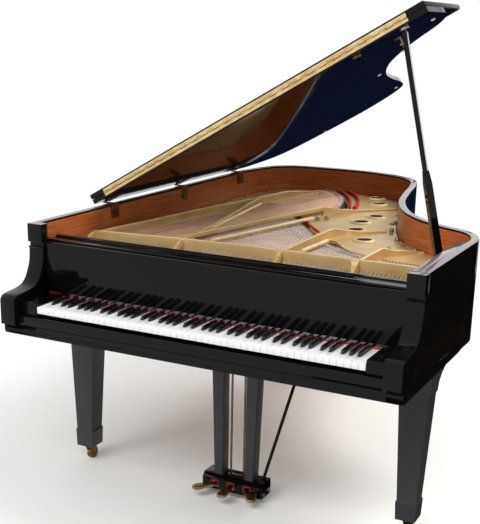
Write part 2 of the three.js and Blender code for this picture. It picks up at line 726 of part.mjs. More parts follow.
// Dampers: a bar of felt for each section but the highest, carried on wires by a rail under the strings
function buildDampers() {
  const railTop = plateBottom - seatGap;
  const railY = damperRailY + damperDepth / 2;
  const lastDamped = notes.length - undampedNoteCount - 1;
  const bars = sectionRanges.slice(0, -1).flatMap(([from, to]) => {
    const [first, last] = [notes[from], notes[Math.min(to - 1, lastDamped)]];
    const seat = first.bass ? bassStringHeight + bassStringRadius : steelStringHeight + stringRadius;
    const x0 = first.x - damperWidth / 2;
    const x1 = last.x + damperWidth / 2;
    const bar = box(x0, x1, damperRailY, damperRailY + damperDepth, seat + seatGap, seat + seatGap + damperHeight);
    const wires = [first.x + damperWireInset, last.x - damperWireInset].map((x) => upright(x, railY, railTop - weldOverlap,
      seat + seatGap + weldOverlap, damperWireRadius, 6));
    return [bar, ...wires];
  });
  const rail = box(notes[0].x - damperWidth, notes[lastDamped].x + damperWidth, damperRailY,
    damperRailY + damperDepth, railTop - damperHeight, railTop);
  return join(rail, ...bars);
}

// Hammers: one row of heads for each section, on the rail that carries their shanks
function buildHammers() {
  const shank = hammerShankHeight;
  const strike = pinBlockFront + pinBlockDepth + hammerHeadDepth * 0.8;
  const rows = sectionRanges.map(([from, to]) => sideProfile([[hammerRailY - weldOverlap, shank],
    [strike + hammerHeadDepth / 2, shank - hammerShankThickness],
    [strike + hammerHeadDepth / 2, hammerHeadTop - hammerHeadDepth / 2], [strike, hammerHeadTop],
    [strike - hammerHeadDepth / 2, hammerHeadTop - hammerHeadDepth / 2],
    [strike - hammerHeadDepth / 2, shank + hammerShankThickness],
    [hammerRailY - weldOverlap, shank + hammerShankThickness]],
  notes[from].x - hammerHeadWidth / 2, notes[to - 1].x + hammerHeadWidth / 2));
  const reach = Math.abs(notes[0].x) + hammerHeadWidth;
  const railFront = hammerRailY - hammerRailDepth;
  const rail = box(-reach, reach, railFront, hammerRailY, shank - 2 * hammerShankThickness,
    shank + 1.5 * hammerShankThickness);
  const brackets = hammerBracketShares.map((share) => share * (reach - hammerHeadWidth)).map((x) => box(
    x - hammerHeadWidth, x + hammerHeadWidth, railFront, hammerRailY, keyBedTop + seatGap,
    shank - hammerShankThickness));
  return join(rail, ...brackets, ...rows);
}

// Key bed with its front, balance and back rails
function buildKeyBed() {
  const back = keyBedBackY;
  const profile = [[keyBedFrontY + keyBedCorner, keyBedBottom], [back, keyBedBottom], [back, keyBedTop],
    [keyBedFrontY, keyBedTop], [keyBedFrontY, keyBedBottom + 2 * keyBedCorner],
    [keyBedFrontY + keyBedCorner * 0.3, keyBedBottom + keyBedCorner * 0.6]];
  const rail = (y, width, top) => box(-keyboardHalf, keyboardHalf, y - width / 2, y + width / 2,
    keyBedTop - weldOverlap, top);
  const bores = rodXs.map((x) => upright(x, rodY, keyBedBottom - cutOverrun, keyBedTop + cutOverrun,
    rodRadius + runningGap, 12));
  return cut(join(sideProfile(profile, -caseHalfWidth, caseHalfWidth),
    rail(railWidth * 1.4, railWidth, keyBottom - 1.4 * keyDip), rail(balanceRailY, balanceRailWidth, keyBottom - seatGap),
    rail(keyStickLength - railWidth / 2, railWidth, keyBottom - seatGap)), ...bores);
}

function buildKeySlip() {
  const top = keyBedTop + keySlipHeight;
  const front = -keySlipGap - keySlipThickness;
  const crown = keySlipThickness * 0.25;
  return sideProfile([[front, keyBedTop + seatGap], [-keySlipGap, keyBedTop + seatGap], [-keySlipGap, top - crown],
    [-keySlipGap - crown, top], [front + crown, top], [front, top - crown]],
  -armInnerHalf + seatGap, armInnerHalf - seatGap);
}

function buildKeyBlock(side) {
  const inner = keyboardHalf + naturalGap;
  const outer = armInnerHalf - seatGap;
  const back = armFaceY + fallboardThickness;
  const xs = [side * inner, side * outer].sort((a, b) => a - b);
  const body = box(...xs, 0, back, keyBedTop + seatGap, keyBlockTop);
  const knob = upright(side * (inner + outer) / 2, back / 3, keyBlockTop - weldOverlap,
    keyBlockTop + keyBlockKnobHeight, keyBlockKnobRadius, 12);
  return join(body, knob);
}

// Fallboard, standing open behind the keys
const fallboardY = keyReach + seatGap;
const fallboardPivotY = fallboardY + fallboardThickness - fallboardPivotInset;
const fallboardPivotHeight = fallboardBottom + fallboardPivotRise;

function buildFallboard() {
  const half = armInnerHalf - fallboardSideGap;
  const edge = fallboardThickness / 4;
  const board = sideProfile([[fallboardY, fallboardBottom], [fallboardY + fallboardThickness, fallboardBottom],
    [fallboardY + fallboardThickness, fallboardTop - edge], [fallboardY + fallboardThickness - edge, fallboardTop],
    [fallboardY + edge, fallboardTop], [fallboardY, fallboardTop - edge]], -half, half);
  const pins = [-1, 1].map((side) => crosswise(side * (half - weldOverlap), side * (armInnerHalf - seatGap),
    fallboardPivotY, fallboardPivotHeight, fallboardPinRadius, 12));
  return join(board, ...pins);
}

function buildDeskRails() {
  const left = -caseHalfWidth + rimThickness + seatGap;
  let front = fallboardY + fallboardThickness + deskRailGap;
  const base = Math.min(...deskRailTops) - deskRailThickness;
  const boards = deskRailDepths.map((depth, i) => {
    const board = box(left, armInnerHalf - seatGap, front, front + depth + weldOverlap, base, deskRailTops[i]);
    front += depth;
    return board;
  });
  return join(...boards);
}

// Keys: notes counted from the lowest, an A
const octaveNames = ['c', 'c_sharp', 'd', 'd_sharp', 'e', 'f', 'f_sharp', 'g', 'g_sharp', 'a', 'a_sharp', 'b'];
const sharpShiftShares = { 1: -0.13, 3: 0.13, 6: -0.17, 8: 0, 10: 0.17 };
const noteCount = 88;
const lowestPitchIndex = octaveNames.indexOf('a');
const pitchOf = (note) => (note + lowestPitchIndex) % octaveNames.length;
const isSharp = (note) => pitchOf(note) in sharpShiftShares;
const naturalsBelow = (note) => Array.from({ length: note }, (_, i) => i).filter((i) => !isSharp(i)).length;
const sharpCentre = (note) => -keyboardHalf + naturalPitch * (naturalsBelow(note) + sharpShiftShares[pitchOf(note)]);

function naturalEdges(note) {
  const left = -keyboardHalf + naturalPitch * naturalsBelow(note) + naturalGap / 2;
  const right = left + naturalPitch - naturalGap;
  const side = sharpWidth / 2 + sharpTailGap;
  const tailLeft = note > 0 && isSharp(note - 1) ? sharpCentre(note - 1) + side : left;
  const tailRight = note < noteCount - 1 && isSharp(note + 1) ? sharpCentre(note + 1) - side : right;
  return { left, right, tailLeft, tailRight };
}

// Natural keys seen from above, joined behind joinY when there are several
function naturalKeys(range, joinY) {
  const points = range.flatMap((note) => {
    const { left, right, tailLeft, tailRight } = naturalEdges(note);
    return [[tailLeft, joinY], [tailLeft, naturalHeadLength], [left, naturalHeadLength], [left, 0], [right, 0],
      [right, naturalHeadLength], [tailRight, naturalHeadLength], [tailRight, joinY]];
  });
  const [first, last] = [points[0], points[points.length - 1]];
  const outlinePoints = [...points, [last[0], keyStickLength], [first[0], keyStickLength]].filter(
    ([x, y], i, all) => i === 0 || x !== all[i - 1][0] || y !== all[i - 1][1]);
  return slab(outlinePoints, keyBottom, keyTop);
}

// Sharps are joined by a bar over the tails of the naturals
function sharpKeys(range) {
  const front = naturalHeadLength + naturalGap;
  const back = keyReach - naturalGap * 2;
  const top = keyTop + sharpRise;
  const barFront = sharpStickLength - keyBarDepth;
  const bodies = range.map((note) => {
    const x = sharpCentre(note);
    return sideProfile([[front, keyBottom], [sharpStickLength, keyBottom], [sharpStickLength, top],
      [barFront, top], [barFront, keyTop], [back, keyTop], [back, top], [front + sharpWidth, top],
      [front, keyTop - naturalGap]], x - sharpWidth / 2, x + sharpWidth / 2);
  });
  if (range.length === 1) return bodies[0];
  const bar = box(sharpCentre(range[0]), sharpCentre(range[range.length - 1]), barFront, sharpStickLength,
    keyTop + seatGap, top);
  return join(bar, ...bodies);
}

const bassKeyCount = 39;
const singleKeyCount = 6;

function addKeys() {
  const all = Array.from({ length: noteCount }, (_, note) => note);
  const trebleStart = bassKeyCount + singleKeyCount;
  const ranges = { bass: all.slice(0, bassKeyCount), treble: all.slice(trebleStart) };
  for (const [name, range] of Object.entries(ranges)) {
    addPart(`${name}_natural_keys`, naturalKeys(range.filter((note) => !isSharp(note)), naturalJoinY), ivory);
    addPart(`${name}_sharp_keys`, sharpKeys(range.filter(isSharp)), ebony);
  }
  for (const note of all.slice(bassKeyCount, trebleStart)) {
    const name = `key_${octaveNames[pitchOf(note)]}4`;
    if (isSharp(note)) addPart(name, sharpKeys([note]), ebony);
    else addPart(name, naturalKeys([note], keyStickLength - railWidth), ivory);
  }
}

// Lid: everything in its group is drawn closed, about the hinge pin, and the group is turned open
const lid = new THREE.Group();
lid.position.set(lidPinX, 0, lidPinZ);
lid.rotation.y = -lidOpenAngle;
piano.add(lid);
const onLid = (geometry) => geometry.translate(-lidPinX, 0, -lidPinZ);
const lidHalf = caseHalfWidth + lidOverhang;
const flapHingeHalf = lidHalf - flapHingeInset;
const flapAxisY = lidFrontY - flapAxisInset;
const flapAxisZ = lidTop + flapStackGap / 2;

// The main lid is notched round the knuckles of its three hinges
function buildMainLid() {
  const reach = lidHingeWidth / 2 + runningGap;
  const notches = lidHingeYs.map((y) => box(-lidHalf - cutOverrun, lidPinX + lidHingeKnuckleRadius + runningGap,
    y - reach, y + reach, lidUnderside - cutOverrun, lidTop + cutOverrun));
  return onLid(cut(slab(outline(-lidOverhang, lidFrontY), lidUnderside, lidTop), ...notches));
}

// The flap lies folded back on the lid, half a turn about its hinge
function buildFlap() {
  const shape = new THREE.Shape();
  const far = lidFrontY + flapLength;
  const r = flapCornerRadius;
  shape.moveTo(-lidHalf, lidFrontY);
  shape.lineTo(lidHalf, lidFrontY);
  shape.lineTo(lidHalf, far - r);
  shape.absarc(lidHalf - r, far - r, r, 0, Math.PI / 2);
  shape.lineTo(-lidHalf + r, far);
  shape.absarc(-lidHalf + r, far - r, r, Math.PI / 2, Math.PI);
  shape.closePath();
  const geometry = new THREE.ExtrudeGeometry(shape, { depth: lidThickness, bevelEnabled: false, curveSegments: 4 });
  return onLid(geometry.translate(0, 0, lidTop + flapStackGap));
}

function buildFlapHinge(upper) {
  const side = upper ? 1 : -1;
  const leafBack = lidFrontY - seatGap;
  const near = flapAxisZ + side * (flapKnuckleRadius + runningGap);
  const far = flapAxisZ + side * flapLeafReach;
  const leaf = box(-flapHingeHalf, flapHingeHalf, leafBack - flapLeafThickness, leafBack,
    Math.min(near, far), Math.max(near, far));
  const pitch = 2 * flapHingeHalf / flapKnuckleCount;
  const knuckles = Array.from({ length: flapKnuckleCount }, (_, i) => i).filter((i) => i % 2 === (upper ? 0 : 1));
  const pieces = knuckles.flatMap((i) => {
    const x0 = -flapHingeHalf + i * pitch + runningGap;
    const x1 = -flapHingeHalf + (i + 1) * pitch - runningGap;
    const zs = [flapAxisZ, near + side * weldOverlap];
    const tab = box(x0, x1, leafBack - flapLeafThickness, leafBack, Math.min(...zs), Math.max(...zs));
    return [tab, crosswise(x0, x1, flapAxisY, flapAxisZ, flapKnuckleRadius, 6)];
  });
  return onLid(join(leaf, ...pieces));
}

// Three hinges along the bass side: a leaf on the rim's inner wall with a strap over its top, and a leaf on the lid
const lidHingeYShares = [0.295, 0.55, 0.8];
const lidHingeSetIns = [0, 0, rearHingeSetIn];
const lidHingeYs = lidHingeYShares.map((share) => planPoint([-1, share]).y);
const lidHingeBottom = lidUnderside - seatGap - lidHingeLeafThickness / 2;

function buildRimHinge(y, setIn) {
  const inner = -caseHalfWidth + rimThickness + seatGap + setIn;
  const strapTop = rimTop + lidHingeLeafThickness;
  const [y0, y1] = [y - lidHingeWidth / 4, y + lidHingeWidth / 4];
  const strap = box(lidPinX, inner + lidHingeLeafThickness, y0, y1, rimTop + seatGap, strapTop);
  const leaf = box(inner, inner + lidHingeLeafThickness, y - lidHingeWidth / 2, y + lidHingeWidth / 2,
    rimTop - lidHingeLeafDrop, rimTop);
  const link = box(inner, inner + lidHingeLeafThickness, y0, y1, rimTop - weldOverlap, strapTop);
  const neck = box(lidPinX - lidHingeKnuckleRadius / 2, -lidHalf - seatGap, y0, y1, rimTop + seatGap, lidPinZ);
  const knuckle = rodBetween(new THREE.Vector3(lidPinX, y0, lidPinZ), new THREE.Vector3(lidPinX, y1, lidPinZ),
    lidHingeKnuckleRadius, knuckleSides);
  return join(strap, leaf, link, neck, knuckle);
}

function buildLidHinge(y) {
  const plateEnd = -caseHalfWidth + lidHingeReach;
  const underside = lidUnderside - seatGap;
  const fingers = [-1, 1].flatMap((side) => {
    const ys = [y + side * (lidHingeWidth / 4 + runningGap), y + side * lidHingeWidth / 2].sort((a, b) => a - b);
    const knuckle = rodBetween(new THREE.Vector3(lidPinX, ys[0], lidPinZ), new THREE.Vector3(lidPinX, ys[1], lidPinZ),
      lidHingeKnuckleRadius, knuckleSides);
    const web = box(lidPinX, -lidHalf - seatGap, ...ys, lidHingeBottom, lidPinZ);
    return [knuckle, web, box(lidPinX, plateEnd, ...ys, lidHingeBottom, underside)];
  });
  const bar = box(plateEnd - lidHingeWidth / 3, plateEnd, y - lidHingeWidth / 2, y + lidHingeWidth / 2,
    lidHingeBottom, underside);
  return onLid(join(bar, ...fingers));
}

// A cup on the lid's underside, open on the side to which the prop swings
function buildPropCup(x, y) {
  const seat = lidUnderside - seatGap;
  const disc = upright(x, y, seat - propCupThickness, seat, propCupRadius, propCupSides);
  const ring = upright(x, y, seat - propCupThickness - propCupLip, seat - propCupThickness + weldOverlap,
    propCupRadius, propCupSides);
  const bore = upright(x, y, seat - propCupThickness - propCupLip - cutOverrun, seat - propCupThickness,
    propCupRadius * 0.72, propCupSides);
  const mouth = box(-2 * propCupRadius, 2 * propCupRadius, -propTipRadius, 3 * propCupRadius,
    seat - propCupThickness - propCupLip - cutOverrun, seat - propCupThickness);
  mouth.rotateZ(Math.atan2(propFoldShare.y, propFoldShare.x) - Math.PI / 2);
  return onLid(join(disc, cut(ring, bore, mouth.translate(x, y, 0))));
}

// Prop: a stick from its bracket on the treble block to the first cup
const propBase = new THREE.Vector3(armInnerHalf - propBaseInset, propBaseY, propPivotHeight);
const cupFace = lidUnderside - seatGap - propCupThickness - propCupClearance;
const propTip = new THREE.Vector3(propSeatX - lidPinX, propSeatY, cupFace - lidPinZ)
  .applyAxisAngle(axisY, -lidOpenAngle).add(new THREE.Vector3(lidPinX, 0, lidPinZ));
const propAlong = new THREE.Vector3().subVectors(propTip, propBase).normalize();
const propAxis = new THREE.Vector3().crossVectors(propAlong,
  new THREE.Vector3(propFoldShare.x, propFoldShare.y, 0)).normalize();
const propAcross = new THREE.Vector3().crossVectors(propAxis, propAlong);
const prop = new THREE.Group();
prop.position.copy(propBase);
prop.quaternion.setFromRotationMatrix(new THREE.Matrix4().makeBasis(propAcross, propAxis, propAlong));
piano.add(prop);

function buildPropStick() {
  const length = propTip.distanceTo(propBase);
  const heel = propSleeveWidth * 0.45;
  const sleeve = box(-propSleeveWidth / 2, propSleeveWidth / 2, -propSleeveThickness / 2, propSleeveThickness / 2,
    -heel, propSleeveLength);
  const shoulder = tapered(0, 0, { x: 0, y: 0, width: propSleeveWidth, depth: propSleeveThickness },
    { x: 0, y: 0, width: propStickWidth, depth: propStickThickness }, propSleeveLength - weldOverlap / 2,
    propSleeveLength + propSleeveWidth);
  const stick = box(-propStickWidth / 2, propStickWidth / 2, -propStickThickness / 2, propStickThickness / 2,
    propSleeveLength, length - propTipLength);
  const tip = upright(0, 0, length - propTipLength - weldOverlap, length, propTipRadius, 12);
  const bore = rodBetween(new THREE.Vector3(0, -propSleeveThickness, 0), new THREE.Vector3(0, propSleeveThickness, 0),
    propPinRadius + runningGap, 14);
  return cut(join(sleeve, shoulder, stick, tip), bore);
}

// The wedge on the treble block that carries the prop's pin
function buildPropBracket() {
  const reach = propSleeveThickness / 2 + runningGap;
  const pin = rodBetween(new THREE.Vector3(0, -reach - weldOverlap, 0), new THREE.Vector3(0, reach, 0),
    propPinRadius, 14);
  const wedge = box(-propSleeveWidth / 2, propSleeveWidth / 4, -reach - propSleeveWidth, -reach,
    -propSleeveWidth * 0.45, propSleeveWidth * 0.45);
  prop.updateMatrix();
  const face = armInnerHalf - seatGap;
  return overlap(join(pin, wedge).applyMatrix4(prop.matrix), box(face - 2 * propSleeveWidth, face,
    propBaseY - 2 * propSleeveWidth, propBaseY + 2 * propSleeveWidth, ribTop, rimTop));
}

// Legs
function buildLeg(top) {
  const footTop = casterHeight + footHeight;
  const blockBottom = top - legBlockHeight;
  const back = footDepth;
  const foot = tapered(0, back / 2, { x: 0, y: 0, width: footWidth, depth: footDepth },
    { x: 0, y: 0, width: footTopWidth, depth: footDepth }, casterHeight, footTop);
  const collar = tapered(0, back / 2, { x: 0, y: 0, width: footTopWidth, depth: footDepth },
    { x: 0, y: 0, width: shaftBottomWidth, depth: shaftBottomDepth }, footTop - weldOverlap / 2, footTop + footChamfer);
  const shaft = tapered(0, 0, { x: 0, y: footDepth / 2, width: shaftBottomWidth, depth: shaftBottomDepth },
    { x: 0, y: shaftTopDepth / 2, width: shaftTopWidth, depth: shaftTopDepth }, footTop, blockBottom + weldOverlap);
  const flareShares = [[0, 0], [0.08, 0.3], [0.3, 0.58], [0.62, 0.78], [1, 0.93], [1, 1]];
  const block = sideProfile([[0, blockBottom], ...flareShares.map(([run, rise]) =>
    [shaftTopDepth + run * legBlockFlare, blockBottom + rise * legBlockHeight]), [0, top]],
  -legBlockWidth / 2, legBlockWidth / 2);
  return join(foot, collar, shaft, block);
}

// A caster under a foot: plate, stem, cheeks and axle in one piece, and its wheel
function buildFork() {
  const plateTop0 = casterHeight - seatGap;
  const plateLow = plateTop0 - casterPlateThickness;
  const inner = wheelWidth / 2 + runningGap;
  const plate = upright(0, 0, plateLow, plateTop0, casterPlateRadius, 16);
  const crown = box(-inner - casterCheek, inner + casterCheek, -casterStemRadius, casterTrail + casterStemRadius,
    2 * wheelRadius + 2 * runningGap, plateLow + weldOverlap);
  const cheeks = [-1, 1].map((side) => {
    const xs = [side * inner, side * (inner + casterCheek)].sort((a, b) => a - b);
    return sideProfile([[casterTrail - axleRadius * 2, wheelRadius - axleRadius * 2],
      [casterTrail + axleRadius * 2, wheelRadius - axleRadius * 2],
      [casterTrail + casterStemRadius, 2 * wheelRadius + 3 * runningGap],
      [-casterStemRadius, 2 * wheelRadius + 3 * runningGap]], ...xs);
  });
  const axle = crosswise(-inner - weldOverlap, inner + weldOverlap, casterTrail, wheelRadius, axleRadius, 12);
  return join(plate, crown, ...cheeks, axle);
}

function buildWheel() {
  const bore = axleRadius + seatGap;
  const half = wheelWidth / 2;
  const profile = [[bore, -half], [wheelRadius, -half], [wheelRadius, half], [bore, half], [bore, -half]];
  const flatRadius = wheelRadius / Math.cos(Math.PI / wheelSides);
  const points = profile.map(([r, h]) => new THREE.Vector2(r === bore ? bore : r * flatRadius / wheelRadius, h));
  const geometry = new THREE.LatheGeometry(points, wheelSides);
  geometry.rotateY(Math.PI / wheelSides);
  return geometry.rotateZ(Math.PI / 2);
}

function addLegAndCaster(name, x, y, top) {
  const leg = addPart(`leg_${name}`, buildLeg(top), lacquer);
  leg.position.set(x, y, 0);
  const caster = new THREE.Group();
  caster.position.set(x, y + footDepth / 2, 0);
  piano.add(caster);
  addPart(`caster_fork_${name}`, buildFork(), brass, caster);
  addPart(`caster_wheel_${name}`, buildWheel(), brass, caster).position.set(0, casterTrail, wheelRadius);
}

// Lyre
function buildLyreFrame() {
  const top = keyBedBottom - seatGap;
  const headBottom = top - lyreHeadHeight;
  const postFoot = pedalBoxTop + seatGap;
  const head = box(-lyreHeadHalf, lyreHeadHalf, lyreFrontY - seatGap, lyreFrontY + lyrePostDepth + seatGap,
    headBottom, top);
  const posts = [-1, 1].map((side) => tapered(0, lyreFrontY + lyrePostDepth / 2,
    { x: side * lyrePostFootX, y: 0, width: lyrePostFootWidth, depth: lyrePostDepth },
    { x: side * lyrePostTopX, y: 0, width: lyrePostTopWidth, depth: lyrePostDepth }, postFoot,
    headBottom + weldOverlap));
  const bores = rodXs.map((x) => upright(x, rodY, postFoot - cutOverrun, top + cutOverrun, rodRadius + runningGap, 12));
  return cut(join(head, ...posts), ...bores);
}

function pedalCentre(i, y) {
  const front = pedalBoxFront;
  if (y >= front) return pedalRootXs[i];
  return THREE.MathUtils.lerp(pedalRootXs[i], pedalTipXs[i], (front - y) / (front - pedalTipYs[i]));
}

function buildPedalBox() {
  const [y0, y1] = [pedalBoxFront, pedalBoxFront + pedalBoxDepth];
  const shell = sideProfile([[y0, pedalBoxBottom], [y1, pedalBoxBottom], [y1, pedalBoxTop],
    [y0 + pedalBoxBevel, pedalBoxTop], [y0, pedalBoxTop - pedalBoxBevel]], -pedalBoxHalf, pedalBoxHalf);
  const cavity = box(-pedalBoxHalf + pedalBoxWall, pedalBoxHalf - pedalBoxWall, y0 + pedalBoxWall, y1 - pedalBoxWall,
    pedalBoxBottom - cutOverrun, pedalBoxTop - pedalBoxWall);
  const slots = pedalRootXs.map((x) => box(x - pedalLeverWidth / 2 - pedalSlotSide,
    x + pedalLeverWidth / 2 + pedalSlotSide, y0 - cutOverrun, y0 + pedalBoxWall + cutOverrun,
    pedalPivotZ - pedalSlotHeight * 0.52, pedalPivotZ + pedalSlotHeight * 0.48));
  const bores = rodXs.map((x) => upright(x, rodY, pedalBoxTop - pedalBoxWall - cutOverrun, pedalBoxTop + cutOverrun,
    rodRadius + runningGap, 12));
  const pin = crosswise(-pedalBoxHalf + pedalBoxWall / 2, pedalBoxHalf - pedalBoxWall / 2, pedalPivotY, pedalPivotZ,
    pedalPinRadius, pedalPinSides);
  return join(cut(shell, cavity, ...slots, ...bores), pin);
}

function buildPedal(i) {
  const root = pedalRootXs[i];
  const tip = new THREE.Vector2(pedalTipXs[i], pedalTipYs[i]);
  const half = pedalLeverWidth / 2;
  const neckY = tip.y + pedalToeRadius * 1.2;
  const neckX = pedalCentre(i, neckY);
  const rodSide = rodXs[i] + (rodXs[i] > root ? rodRadius * 2 : -rodRadius * 2);
  const back = rodY + rodRadius * 2;
  const lever = slab([[root - half, back], [root - half, pedalBoxFront],
    [neckX - half * 0.8, neckY], [neckX + half * 0.8, neckY], [root + half, pedalBoxFront],
    [root + half, back]],
  pedalPivotZ - pedalThickness / 2, pedalPivotZ + pedalThickness / 2);
  const ear = box(Math.min(root - half, rodSide), Math.max(root + half, rodSide), rodY - rodRadius * 2, back,
    pedalPivotZ - pedalThickness / 2, pedalPivotZ + pedalThickness / 2);
  const toe = new THREE.CylinderGeometry(pedalToeRadius, pedalToeRadius * 0.88, pedalThickness, 20);
  toe.rotateX(Math.PI / 2).scale(1, 1.25, 1).translate(tip.x, tip.y + pedalToeRadius * 0.6, pedalPivotZ);
  const eye = crosswise(root - half, root + half, pedalPivotY, pedalPivotZ, pedalThickness * 0.75, 14);
  const bore = crosswise(root - 3 * half, root + 3 * half, pedalPivotY, pedalPivotZ,
    pedalPinRadius + seatGap, pedalPinSides);
  return cut(join(lever, ear, toe, eye), bore);
}

function buildRod(i) {
  return upright(rodXs[i], rodY, pedalPivotZ + pedalThickness / 2 + seatGap, rodTop, rodRadius, 10);
}

function buildBrace() {
  const z0 = pedalBoxTop + seatGap;
  const z1 = innerRimBottom - seatGap;
  const geometry = upright(0, 0, z0, z1, braceRadius, 12);
  const lean = new THREE.Vector2().subVectors(braceHead, braceFoot).divideScalar(z1 - z0);
  geometry.applyMatrix4(new THREE.Matrix4().set(1, 0, lean.x, -lean.x * z0, 0, 1, lean.y, -lean.y * z0, 0, 0, 1, 0,
    0, 0, 0, 1));
  return geometry.translate(braceFoot.x, braceFoot.y, 0);
}

addPart('case_rim', buildRim(), lacquer);
addPart('inner_rim', buildInnerRim(), mahogany);
addPart('case_braces', buildBraces(), spruce);
addPart('soundboard', buildSoundboard(), spruce);
addPart('pin_block', box(-caseHalfWidth + rimThickness + seatGap, caseHalfWidth - rimThickness - seatGap,
  pinBlockFront, pinBlockFront + pinBlockDepth, pinBlockBottom, pinBlockTop), beech);
addPart('iron_plate', buildPlate(), goldIron);
addPart('tuning_pins', buildTuningPins(), steel);
addPart('bass_strings', buildStrings(true), copper);
addPart('steel_strings', buildStrings(false), steel);
addPart('dampers', buildDampers(), felt);
addPart('hammer_action', buildHammers(), felt);
addPart('key_bed', buildKeyBed(), lacquer);
addPart('key_slip', buildKeySlip(), lacquer);
addPart('key_block_left', buildKeyBlock(-1), lacquer);
addPart('key_block_right', buildKeyBlock(1), lacquer);
addPart('fallboard', buildFallboard(), lacquer);
addPart('desk_rails', buildDeskRails(), lacquer);
addPart('prop_block', box(armInnerHalf, caseHalfWidth - rimThickness - seatGap, armBackY + seatGap, propBlockBack,
  ribTop + seatGap, rimTop), lacquer);
addKeys();

addPart('lid_main', buildMainLid(), lacquer, lid);
addPart('lid_hinge_leaf', buildFlapHinge(false), brass, lid);
addPart('prop_cup_high', buildPropCup(propSeatX, propSeatY), brass, lid);
addPart('prop_cup_low', buildPropCup(secondCupX, secondCupY), brass, lid);
['front', 'middle', 'rear'].forEach((name, i) => {
  addPart(`rim_hinge_${name}`, buildRimHinge(lidHingeYs[i], lidHingeSetIns[i]), brass);
  addPart(`lid_hinge_${name}`, buildLidHinge(lidHingeYs[i]), brass, lid);
});
addPart('lid_flap', buildFlap(), lacquer, lid);
addPart('flap_hinge_leaf', buildFlapHinge(true), brass, lid);
addPart('prop_stick', buildPropStick(), lacquer, prop);
addPart('prop_bracket', buildPropBracket(), brass);

addLegAndCaster('front_left', -legCentreX, legFrontY, legBlockTop);
addLegAndCaster('front_right', legCentreX, legFrontY, legBlockTop);
addLegAndCaster('rear', rearLegX, rearLegY, innerRimBottom - seatGap);

addPart('lyre_frame', buildLyreFrame(), lacquer);
addPart('pedal_box', buildPedalBox(), lacquer);
addPart('lyre_brace', buildBrace(), lacquer);
['soft', 'sostenuto', 'sustain'].forEach((name, i) => {
  addPart(`pedal_${name}`, buildPedal(i), brass);
  addPart(`pedal_rod_${name}`, buildRod(i), brass);
});

// The origin is on the floor, under the middle of the whole object
piano.updateMatrixWorld(true);
const bounds = new THREE.Box3().setFromObject(piano, true);
piano.position.set(-(bounds.min.x + bounds.max.x) / 2, -(bounds.min.y + bounds.max.y) / 2, -bounds.min.z);

export default piano;
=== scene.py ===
import bpy
import bmesh
import json
from math import cos, pi, radians, sin, sqrt
from mathutils import Matrix, Vector

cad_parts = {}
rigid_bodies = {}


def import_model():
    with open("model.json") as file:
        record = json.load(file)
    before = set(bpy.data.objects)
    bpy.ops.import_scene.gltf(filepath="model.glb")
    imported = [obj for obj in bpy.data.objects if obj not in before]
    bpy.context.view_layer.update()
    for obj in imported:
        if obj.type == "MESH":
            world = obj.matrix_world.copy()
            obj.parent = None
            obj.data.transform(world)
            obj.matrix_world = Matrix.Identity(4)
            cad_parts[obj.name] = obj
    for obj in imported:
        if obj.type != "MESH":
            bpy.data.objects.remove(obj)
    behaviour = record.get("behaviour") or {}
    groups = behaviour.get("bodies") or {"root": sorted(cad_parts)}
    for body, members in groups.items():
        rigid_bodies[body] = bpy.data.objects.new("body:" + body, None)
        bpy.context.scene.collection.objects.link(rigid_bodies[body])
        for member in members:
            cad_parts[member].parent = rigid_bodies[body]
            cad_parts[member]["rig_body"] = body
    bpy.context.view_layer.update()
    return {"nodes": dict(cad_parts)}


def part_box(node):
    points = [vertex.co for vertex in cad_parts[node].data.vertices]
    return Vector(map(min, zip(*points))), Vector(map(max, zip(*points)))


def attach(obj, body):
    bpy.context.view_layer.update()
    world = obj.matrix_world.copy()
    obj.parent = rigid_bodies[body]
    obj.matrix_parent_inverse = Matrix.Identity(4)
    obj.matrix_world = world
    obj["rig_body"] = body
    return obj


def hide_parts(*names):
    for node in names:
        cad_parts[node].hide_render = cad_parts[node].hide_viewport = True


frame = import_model()
scene = bpy.context.scene
print("frame loaded")

# The piano is drawn in millimetres: x towards the treble, y from the key fronts to the tail, z up from the floor
case = {"halfWidth": 741, "boardHalf": 678.5, "tailReach": 2171, "armReach": 36, "bottom": 620, "top": 989,
        "thickness": 30, "outlineSteps": 190, "edgeRound": 2.2}
rimLow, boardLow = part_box("case_rim")[0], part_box("fallboard")[0]
toRow = Matrix.Translation((boardLow.x + case["boardHalf"] / 1000, rimLow.y + case["armReach"] / 1000, 0)) \
    @ Matrix.Scale(0.001, 4)
fromRow = toRow.inverted()

lid = {"pinX": -754.7, "pinZ": 1002.1, "angle": 29.85, "under": 992, "top": 1011, "overhang": 11.3,
       "frontY": 551, "flapLength": 429, "flapGap": 1.6, "sideRound": 6.5, "cornerRadius": 22, "bassEdge": -749}
lidPin = Vector((lid["pinX"], 0, lid["pinZ"]))
lidOpen = Matrix.Translation(lidPin) @ Matrix.Rotation(-radians(lid["angle"]), 4, "Y") \
    @ Matrix.Translation(-lidPin)


# Materials

def toLinear(code):
    channels = [int(code[i:i + 2], 16) / 255 for i in (0, 2, 4)]
    return tuple(c / 12.92 if c <= 0.04045 else ((c + 0.055) / 1.055) ** 2.4 for c in channels) + (1,)


def addNode(tree, kind, inputs=None, **settings):
    node = tree.nodes.new("ShaderNode" + kind)
    for name, value in settings.items():
        setattr(node, name, value)
    for name, value in (inputs or {}).items():
        if isinstance(value, bpy.types.NodeSocket):
            tree.links.new(value, node.inputs[name])
        else:
            node.inputs[name].default_value = value
    return node


def startMaterial(name, colour, surface):
    material = bpy.data.materials.new(name)
    material.use_nodes = True
    tree = material.node_tree
    shader = tree.nodes["Principled BSDF"]
    shader.inputs["Base Color"].default_value = toLinear(colour)
    for socket, value in surface.items():
        shader.inputs[socket].default_value = value
    place = addNode(tree, "TexCoord").outputs["Object"]
    return material, tree, shader, place


